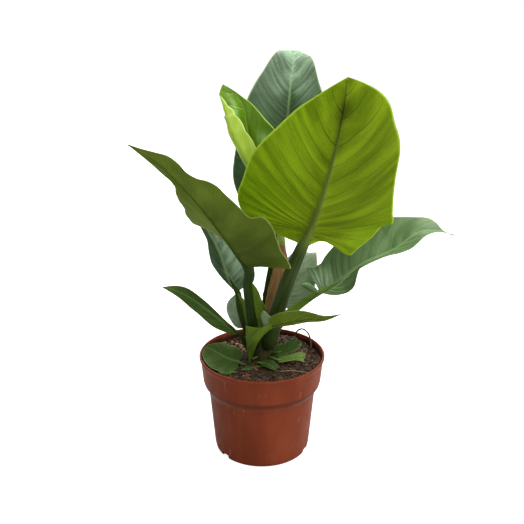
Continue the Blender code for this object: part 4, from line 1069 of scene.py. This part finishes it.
LEFT_BACK_WING = web([(-23, 4, 157), (-21, 2, 146), (-18, 1, 133), (-14, 2, 120)],
                     [(-22, 4, 158), (-15, 2, 149), (-12, 0, 138), (-11, 0, 122)], 0.8)
grow("left_back_leaf", LEFT_BACK, [DARK_UPPER, DARK_UNDERSIDE, OLIVE_STALK, WING_SKIN], "leaf_dark",
     "leaf_left_back", (130, 30), [LEFT_BACK_WING])

# ---------------------------------------------------------------- long right leaf
# It reaches out to the right with its upper face to the light, which a painted sheen stands for. Its
# lower half folds up a third of the way along, and the tip is drawn out into a drip point.
RIGHT_LONG = dict(
    path=[(3, 5, 109), (13, 6, 121), (27, 6, 137), (42, 6, 150), (54, 6, 158)],
    radii=(4.2, 4.4, 4.0, 3.4, 2.8),
    rib=[(54, 6, 158), (67, 4, 166), (91, 0, 188), (119, -2, 203), (147, -6, 223), (173, -12, 220)],
    up=[(-0.1, -0.9, 0.75), (0, -0.7, 0.8), (0, -0.4, 1)],
    right=[(0, 0), (5, 0.065), (11.5, 0.12), (16.5, 0.2), (19, 0.27), (15, 0.31), (10.5, 0.33),
           (10.5, 0.37), (10, 0.47), (9, 0.6), (14, 0.7), (13, 0.76), (8, 0.83), (2, 0.9), (0, 1)],
    left=[(0, 0), (3, 0.005), (9, 0), (17, -0.01), (26.5, -0.012), (24, 0.045), (24, 0.09), (27, 0.19),
          (28.5, 0.26), (32, 0.4), (31, 0.55), (26, 0.68), (20.5, 0.73), (15.5, 0.78), (12.5, 0.84),
          (8, 0.88), (2, 0.92), (0, 1)],
    fold=((0, 10, 50, 45, 18, 10, 5), 10), span=(30, 35), veins=20, quilt=0.2, seed=41,
    # Patches of painted sheen and of painted shade.
    painted_light_and_shade=[(-0.5, 0.05, 0.5, 0.14, 0.8), (-0.5, 0.6, 0.6, 0.2, 0.2), (0.3, 0.8, 0.6, 0.12, 0.3),
             (-0.7, 0.3, 0.3, 0.1, -0.3), (0.4, 0.25, 0.5, 0.15, -0.2)])
# Its last colour is a painted sheen, which the leaf's bright patches lay on.
MEDIUM_UPPER = leaf_skin(
    "medium_upper", (0.075, 0.145, 0.04, 1), (0.14, 0.235, 0.08, 1), (0.2, 0.31, 0.13, 1),
    (0.22, 0.34, 0.14, 1), (0.4, 0.44, 0.26, 1), strength=0.4, mottle=0.8, roughness=0.4,
    through=0.12, painted_sheen=(0.3, 0.44, 0.25, 1))
GREEN_STALK = stalk_skin(
    "green_stalk", (0.03, 0.06, 0.005, 1), (0.07, 0.12, 0.01, 1), (0.13, 0.2, 0.03, 1), 0.5, 0.2)
RIGHT_WING = web([(52, 3, 156), (44, 2, 149), (34, 1, 141), (20, 0, 129), (12, 2, 120)],
                 [(45, 2, 153), (40, 2, 152.5), (29, 1, 146), (17, 0, 139), (7, 2, 128)], 0.8)
RIGHT_CURL = web([(53, 4, 160), (48, 3, 166), (42, 3, 169), (37, 3, 168)],
                 [(52.5, 4, 159), (47, 3, 160), (41, 3, 163), (36.5, 3, 167)], 1.5, 0)
grow("right_long_leaf", RIGHT_LONG, [MEDIUM_UPPER, DARK_UNDERSIDE, GREEN_STALK, WING_SKIN], "leaf_dark",
     "leaf_right_long", (180, 36), [RIGHT_WING, RIGHT_CURL])

# ---------------------------------------------------------------- middle back leaf
# A short leaf behind the big petioles, its upper face grey-green with a painted sheen.
BACK_MIDDLE = dict(
    path=[(1, 9, 107), (7, 16, 121), (20, 21, 138)],
    radii=(3.4, 3.4, 2.6),
    rib=[(20, 21, 138), (29, 27, 156), (38, 36, 174), (44, 50, 182), (50, 66, 171)],
    up=[(0, -1, 0.35), (0, -0.6, 0.8), (0, 0.3, 1)],
    right=[(0, 0), (8, 0), (15, 0.09), (22, 0.26), (18, 0.49), (13, 0.65), (7, 0.85), (0, 1)],
    left=[(0, 0), (11, -0.03), (22, 0), (22, 0.19), (19, 0.43), (13, 0.64), (6, 0.85), (0, 1)],
    fold=(8, 8), span=(22, 22), veins=12, quilt=0.1, seed=51,
    # A patch of painted sheen.
    painted_light_and_shade=[(0.3, 0.4, 0.6, 0.4, 0.35)])
# Its grey cast is partly painted sheen, and its last colour is a painted sheen that the leaf's bright patches
# lay on.
SHEEN_GREY_UPPER = leaf_skin(
    "sheen_grey_upper", (0.12, 0.19, 0.08, 1), (0.19, 0.27, 0.13, 1), (0.22, 0.3, 0.16, 1),
    (0.2, 0.28, 0.14, 1), (0.28, 0.34, 0.2, 1), strength=0.3, fine=0.12, roughness=0.45, specular=0.4,
    through=0.1, painted_sheen=(0.34, 0.45, 0.28, 1))
grow("back_middle_leaf", BACK_MIDDLE, [SHEEN_GREY_UPPER, DARK_UNDERSIDE, OLIVE_STALK], "leaf_grey",
     "leaf_back_middle", (110, 26))

# ---------------------------------------------------------------- low left leaf
# A narrow leaf low on the left, with painted light along its lower half and a painted sheen at its tip.
LEFT_LOW = dict(
    path=[(-6, 0, 99), (-13, -5, 106), (-22, -9, 123)],
    radii=(2.6, 2.4, 2.0),
    rib=[(-22, -9, 123), (-37, -13, 137), (-57, -18, 156), (-73, -22, 169), (-90, -26, 176)],
    up=[(0, -0.8, 0.8)],
    right=[(0, 0), (1.5, 0.06), (2.5, 0.2), (4.5, 0.4), (6, 0.6), (6, 0.78), (0, 1)],
    left=[(0, 0), (3, 0.03), (7.5, 0.15), (10.5, 0.3), (9.5, 0.5), (6.5, 0.78), (0, 1)],
    fold=(6, 6), span=(12, 12), veins=14, quilt=0.15, seed=61,
    # Painted sheen at the tip and painted light on one half.
    painted_light_and_shade=[(0.3, 0.95, 1.0, 0.1, 0.4), (-0.6, 0.4, 0.4, 0.4, 0.15)])
# Its last colour is a painted sheen, which the leaf's bright patches lay on.
LOW_UPPER = leaf_skin(
    "low_upper", (0.024, 0.05, 0.007, 1), (0.045, 0.08, 0.013, 1), (0.06, 0.11, 0.025, 1),
    (0.065, 0.12, 0.03, 1), (0.2, 0.3, 0.09, 1), strength=0.2, fine=0.08, roughness=0.5, specular=0.07,
    painted_sheen=(0.16, 0.25, 0.08, 1))
grow("left_low_leaf", LEFT_LOW, [LOW_UPPER, DARK_UNDERSIDE, OLIVE_STALK], "leaf_dark",
     "leaf_left_low", (100, 20))

# ---------------------------------------------------------------- small left leaf
# A small oval leaf in the shade of the left petioles, with a painted sheen over the whole blade.
LEFT_SMALL = dict(
    path=[(-3, 9, 99), (-11, 15, 107), (-17, 16, 117)],
    radii=(2.2, 2.0, 1.6),
    rib=[(-17, 16, 117), (-24, 15, 129), (-28, 15, 141), (-25, 17, 152)],
    up=[(0, -1, 0.3)],
    right=[(0, 0), (5, 0.1), (8, 0.4), (7, 0.7), (0, 1)],
    left=[(0, 0), (5, 0.1), (7, 0.4), (6, 0.7), (0, 1)],
    fold=(5, 5), span=(9, 9), veins=10, quilt=0.12, seed=71,
    # A painted sheen over the whole blade.
    painted_light_and_shade=[(0, 0.5, 2, 1, 1.1)])
grow("left_small_leaf", LEFT_SMALL, [SHEEN_GREY_UPPER, DARK_UNDERSIDE, OLIVE_STALK], "leaf_grey",
     "leaf_left_small", (80, 18))

# ---------------------------------------------------------------- small front leaf
# A small leaf at the front that shows its underside, on a flat petiole that opens downwards into a
# bright green sheath.
FRONT_SMALL = dict(
    path=[(-4, -4, 96), (-11, -14, 99), (-10, -21, 112), (-6, -28, 126), (2, -31, 136), (9, -33, 142)],
    radii=(2.2, 2.4, 3.6, 4.6, 4.2, 2.6), squash=0.5,
    rib=[(9, -33, 142), (21, -37, 146), (38, -41, 151), (53, -45, 153), (70, -49, 160)],
    up=[(0, 0.8, 0.7)],
    right=[(0, 0), (8, 0), (14, 0.15), (14, 0.4), (9, 0.65), (4, 0.8), (0, 1)],
    left=[(0, 0), (10, 0), (14, 0.2), (14, 0.4), (9, 0.65), (5, 0.8), (0, 1)],
    fold=(6, 6), span=(10, 10), veins=12, quilt=0.15, seed=81, ridge=0.5)
FUNNEL = web([(-12, -15, 96), (-14, -18, 110), (-15, -21, 125), (-15.5, -25, 138)],
             [(-11, -15, 96), (-9, -20, 111), (-4, -25, 127), (6, -29, 135), (15.5, -32, 140.5)], -3.0)
FRONT_LOBE = web([(1.5, -30, 140), (-0.5, -31, 146), (-1, -32, 152), (1, -33, 156)],
                 [(3.5, -30, 140), (10, -31.5, 141), (10, -32.5, 147), (6, -33, 152), (1.5, -33, 156.5)],
                 -1.0, 0)
grow("front_small_leaf", FRONT_SMALL, [SHEEN_GREY_UPPER, OLIVE_UNDERSIDE, WING_SKIN, WING_SKIN], "leaf_olive",
     "leaf_front_small", (110, 22), [FUNNEL, FRONT_LOBE])

# ---------------------------------------------------------------- leaves on the soil
# Short leaves round the foot of the stem, some of them lying on the soil: a round leaf at the left,
# three small ones in front, and the torn stubs of two old leaves at the right.
STUB_UPPER = leaf_skin(
    "stub_upper", (0.012, 0.035, 0.003, 1), (0.035, 0.075, 0.006, 1), (0.03, 0.06, 0.006, 1),
    (0.03, 0.06, 0.006, 1), (0.12, 0.2, 0.03, 1), strength=0.3, fine=0.1, roughness=0.55, specular=0.08)
STUB_CUT = leaf_skin(
    "stub_cut", (0.07, 0.12, 0.015, 1), (0.13, 0.2, 0.035, 1), (0.09, 0.14, 0.02, 1),
    (0.07, 0.12, 0.015, 1), (0.3, 0.4, 0.12, 1), strength=0.3, fine=0.1, roughness=0.5, specular=0.15)
SOIL_LEAF = [LOW_UPPER, DARK_UNDERSIDE, GREEN_STALK]
SOIL_LEAVES = {
    "round_leaf": ("leaf_soil_round", "leaf_dark", SOIL_LEAF, (110, 24), dict(
        path=[(-15, -14, 92.9), (-19, -15, 93.8), (-23, -14, 96)],
        radii=(1.2, 1.4, 1.4),
        rib=[(-23, -14, 96), (-33, -12, 99), (-43, -8, 103), (-54, -4, 107)],
        up=[(0, -0.6, 1)],
        right=[(0, 0), (8, -0.08), (12, 0.05), (13, 0.25), (12, 0.5), (8, 0.78), (0, 1)],
        left=[(0, 0), (7, -0.06), (15, 0.1), (19, 0.38), (17, 0.7), (10, 0.93), (0, 1)],
        fold=(5, 5), span=(16, 16), veins=9, quilt=0.06, seed=91,
        # Painted sheen along both margins.
        painted_light_and_shade=[(-0.9, 0.5, 0.25, 0.6, 0.3), (0.9, 0.5, 0.25, 0.6, 0.3)])),
    "under_leaf": ("leaf_soil_under", "leaf_dark", SOIL_LEAF, (50, 12), dict(
        path=[(-23, -28, 91.9), (-26, -28.5, 92.0), (-29, -29, 92.1)],
        radii=(0.9, 0.9, 0.8),
        rib=[(-29, -29, 92.1), (-35, -29, 92.2), (-41, -27, 92.4)],
        up=[(0, -0.1, 1)],
        right=[(0, 0), (3, 0.2), (4, 0.5), (0, 1)],
        left=[(0, 0), (3, 0.2), (4, 0.5), (0, 1)],
        fold=(4, 4), curl=(8, 8), span=(5, 5), veins=6, quilt=0.08, seed=92)),
    "fore_leaf": ("leaf_soil_front", "leaf_dark", SOIL_LEAF, (70, 16), dict(
        path=[(-5, -12, 93.4), (-3.5, -12.6, 93.9), (-2, -13, 94.3)],
        radii=(1.2, 1.3, 1.2),
        rib=[(-2, -13, 94.3), (4, -16, 94.8), (9, -20, 94.4), (12, -26, 92.6)],
        up=[(0.2, -0.2, 1)],
        right=[(0, 0), (4, 0.1), (7, 0.4), (6, 0.7), (0, 1)],
        left=[(0, 0), (4, 0.1), (7, 0.4), (6, 0.7), (0, 1)],
        fold=(4, 4), curl=(8, 8), span=(8, 8), veins=8, quilt=0.1, seed=93)),
    "narrow_leaf": ("leaf_soil_narrow", "leaf_dark", SOIL_LEAF, (50, 12), dict(
        path=[(-1, -19, 92.8), (-3, -19.5, 93.2), (-6, -20, 93.2)],
        radii=(1.0, 1.0, 0.9),
        rib=[(-6, -20, 93.2), (-13, -22, 92.8), (-20, -24, 92.4)],
        up=[(0, -0.2, 1)],
        right=[(0, 0), (2.5, 0.2), (3, 0.5), (0, 1)],
        left=[(0, 0), (2.5, 0.2), (3, 0.5), (0, 1)],
        fold=(4, 4), curl=(8, 8), span=(4, 4), veins=6, quilt=0.08, seed=94)),
    "upper_stub": ("leaf_stub_upper", "leaf_olive", [STUB_UPPER, DARK_UNDERSIDE, DARK_STALK], (70, 16), dict(
        path=[(5, 1, 96), (9, -1, 98), (14, -2, 99.5)],
        radii=(1.8, 2.0, 1.8),
        rib=[(14, -2, 99.5), (22, 0, 101), (29, 3, 103), (36, 7, 106)],
        up=[(0, -0.5, 1)],
        right=[(0, 0), (6, -0.1), (7.5, 0.3), (7, 0.85), (5.5, 0.97), (4, 0.9), (2, 1.04), (0, 1)],
        left=[(0, 0), (5, -0.1), (6.5, 0.3), (6.5, 0.8), (5.5, 1.03), (3.5, 0.93), (2, 1.08), (0, 1)],
        fold=(20, 20), span=(6, 6), veins=8, quilt=0.1, seed=95)),
    "lower_stub": ("leaf_stub_lower", "leaf_bright", [STUB_CUT, STUB_CUT, GREEN_STALK], (70, 16), dict(
        path=[(5, -2, 95), (10, -7, 96), (16, -10, 95.5)],
        radii=(1.4, 1.5, 1.4),
        rib=[(16, -10, 95.5), (25, -9, 96.5), (33, -8, 97), (41, -8, 96)],
        up=[(0, -0.4, 1)],
        right=[(0, 0), (3, -0.05), (4.5, 0.5), (6, 0.98), (3.5, 0.94), (0, 1)],
        left=[(0, 0), (3, 0), (4.5, 0.5), (5.5, 0.9), (5, 1.03), (3.5, 0.97), (1.5, 1.04), (0, 1)],
        fold=(15, 15), span=(6, 6), veins=8, quilt=0.1, seed=96)),
}
for name, (node, slot, skins, size, leaf) in SOIL_LEAVES.items():
    grow(name, leaf, skins, slot, node, size)

# ---------------------------------------------------------------- papery sheath
# The dry sheath that once wrapped the youngest leaf: thin brown paper, open at the back, with
# lengthwise fibres, narrowing to its upper end.
SHEATH_RADII = [4.9, 7.0, 7.0, 6.0]
SHEATH_SPAN = (0.2, 0.93)
SHEATH_ARC = (10, 170)


def dry_skin(name, dark, light, pink):
    """Dry plant paper: fibres along it in two browns, flushed with pink towards the top."""
    material, tree = new_material(name)
    along = attribute_node(tree, "run")
    vector = add_node(tree, "ShaderNodeCombineXYZ", {0: attribute_node(tree, "across"), 1: along}).outputs[0]
    lines = add_node(tree, "ShaderNodeMapping", {"Vector": vector, "Scale": (14, 1.6, 1)}).outputs[0]
    fibres = noise_node(tree, lines, 1.5, 6.0)
    colour = mix_node(tree, ramp_node(tree, fibres, 0.35, 0.62), dark, light)
    colour = mix_node(tree, ramp_node(tree, along, 0.6, 1.0, 0.0, 0.6), colour, pink)
    coat(tree, colour, 0.7, 0.2, fibres, 0.0008, 0.8)
    return material


def build_sheath():
    """A half tube round the young petiole: pleated arcs of the sheath's radius, narrowing to the top."""
    rows, columns = 90, 40
    places = np.linspace(0, 1, rows + 1)
    bottom, top = SHEATH_SPAN
    centre, along = smooth_curve(UNFURLING["path"], bottom + (top - bottom) * places)
    side = unit(np.cross(along, (0.0, 1.0, 0.0)))
    front = np.cross(along, side)
    spread_out = np.linspace(-1, 1, columns + 1)
    half = (SHEATH_ARC[1] - SHEATH_ARC[0]) / 2 * (1 - 0.75 * places**4) * (1 + 0.04 * np.sin(places * 40))
    angle = np.radians(np.mean(SHEATH_ARC) + half[:, None] * spread_out)
    pleats = 0.22 * np.sin(angle * 13 + 3 * places[:, None]) + 0.15 * np.sin(angle * 29)
    radius = spread(SHEATH_RADII, places)[:, None] - 0.45 + pleats
    direction = side[:, None] * np.cos(angle)[..., None] + front[:, None] * np.sin(angle)[..., None]
    middle = centre[:, None] + direction * radius[..., None]
    points, faces, inner = thin_shell(middle, 0.25)
    across = np.repeat(spread_out[None], rows + 1, axis=0)
    run = np.repeat(places[:, None], columns + 1, axis=1)
    attributes = {"across": np.concatenate([across.ravel(), across[inner]]),
                  "run": np.concatenate([run.ravel(), run[inner]])}
    skin = dry_skin("dry_paper", (0.16, 0.075, 0.02, 1), (0.36, 0.2, 0.07, 1), (0.38, 0.16, 0.09, 1))
    piece = make_piece("dry_sheath", points, faces, [skin], attributes=attributes)
    install(piece, "dry_sheath", "papery_sheath")


build_sheath()

# ---------------------------------------------------------------- roots and scraps
# An aerial root loops out of the soil at the back right, a thin fibre lies across it at the front,
# and a scrap of dead leaf lies at the front left.
AERIAL_ROOT = [(33, 39, 98.2), (36, 37, 105), (41, 33, 108), (46, 30, 104), (48, 26, 97), (48, 23, 91.2)]
SOIL_FIBRE = [(17, -29, 93.0), (26, -28, 93.4), (35, -28, 92.6), (43, -29, 91.8)]
DRY_SCRAP = [(-9, -33, 91.8), (-14, -36, 92.2), (-19, -38, 91.7)]


def build_strand(name, path, radii, skin, slot, node, seed):
    """A root, fibre or scrap: a knotty stalk along its path."""
    part = stalk(path, radii, (0.1, -0.2, 1), 14, 60, ridges=0.12, seed=seed)
    plain_stalk(name, part["points"], part, skin, slot, node)


ROOT_SKIN = stalk_skin(
    "root_skin", (0.05, 0.022, 0.02, 1), (0.075, 0.035, 0.03, 1), (0.14, 0.08, 0.06, 1), 0.6, 0.2)
FIBRE_SKIN = stalk_skin(
    "fibre_skin", (0.2, 0.13, 0.05, 1), (0.26, 0.18, 0.07, 1), (0.35, 0.25, 0.12, 1), 0.7, 0.2)
SCRAP_SKIN = stalk_skin(
    "scrap_skin", (0.07, 0.022, 0.016, 1), (0.12, 0.045, 0.03, 1), (0.2, 0.09, 0.06, 1), 0.8, 0.2)
build_strand("root_loop", AERIAL_ROOT, [0.9, 0.8, 0.75, 0.8, 0.9], ROOT_SKIN, "root_brown", "aerial_root", 4)
build_strand("thin_fibre", SOIL_FIBRE, [0.35, 0.5, 0.45, 0.3], FIBRE_SKIN, "root_brown", "soil_fibre", 5)
build_strand("dead_scrap", DRY_SCRAP, [0.6, 1.2, 0.9, 0.5], SCRAP_SKIN, "dry_sheath", "dry_leaf_scrap", 6)
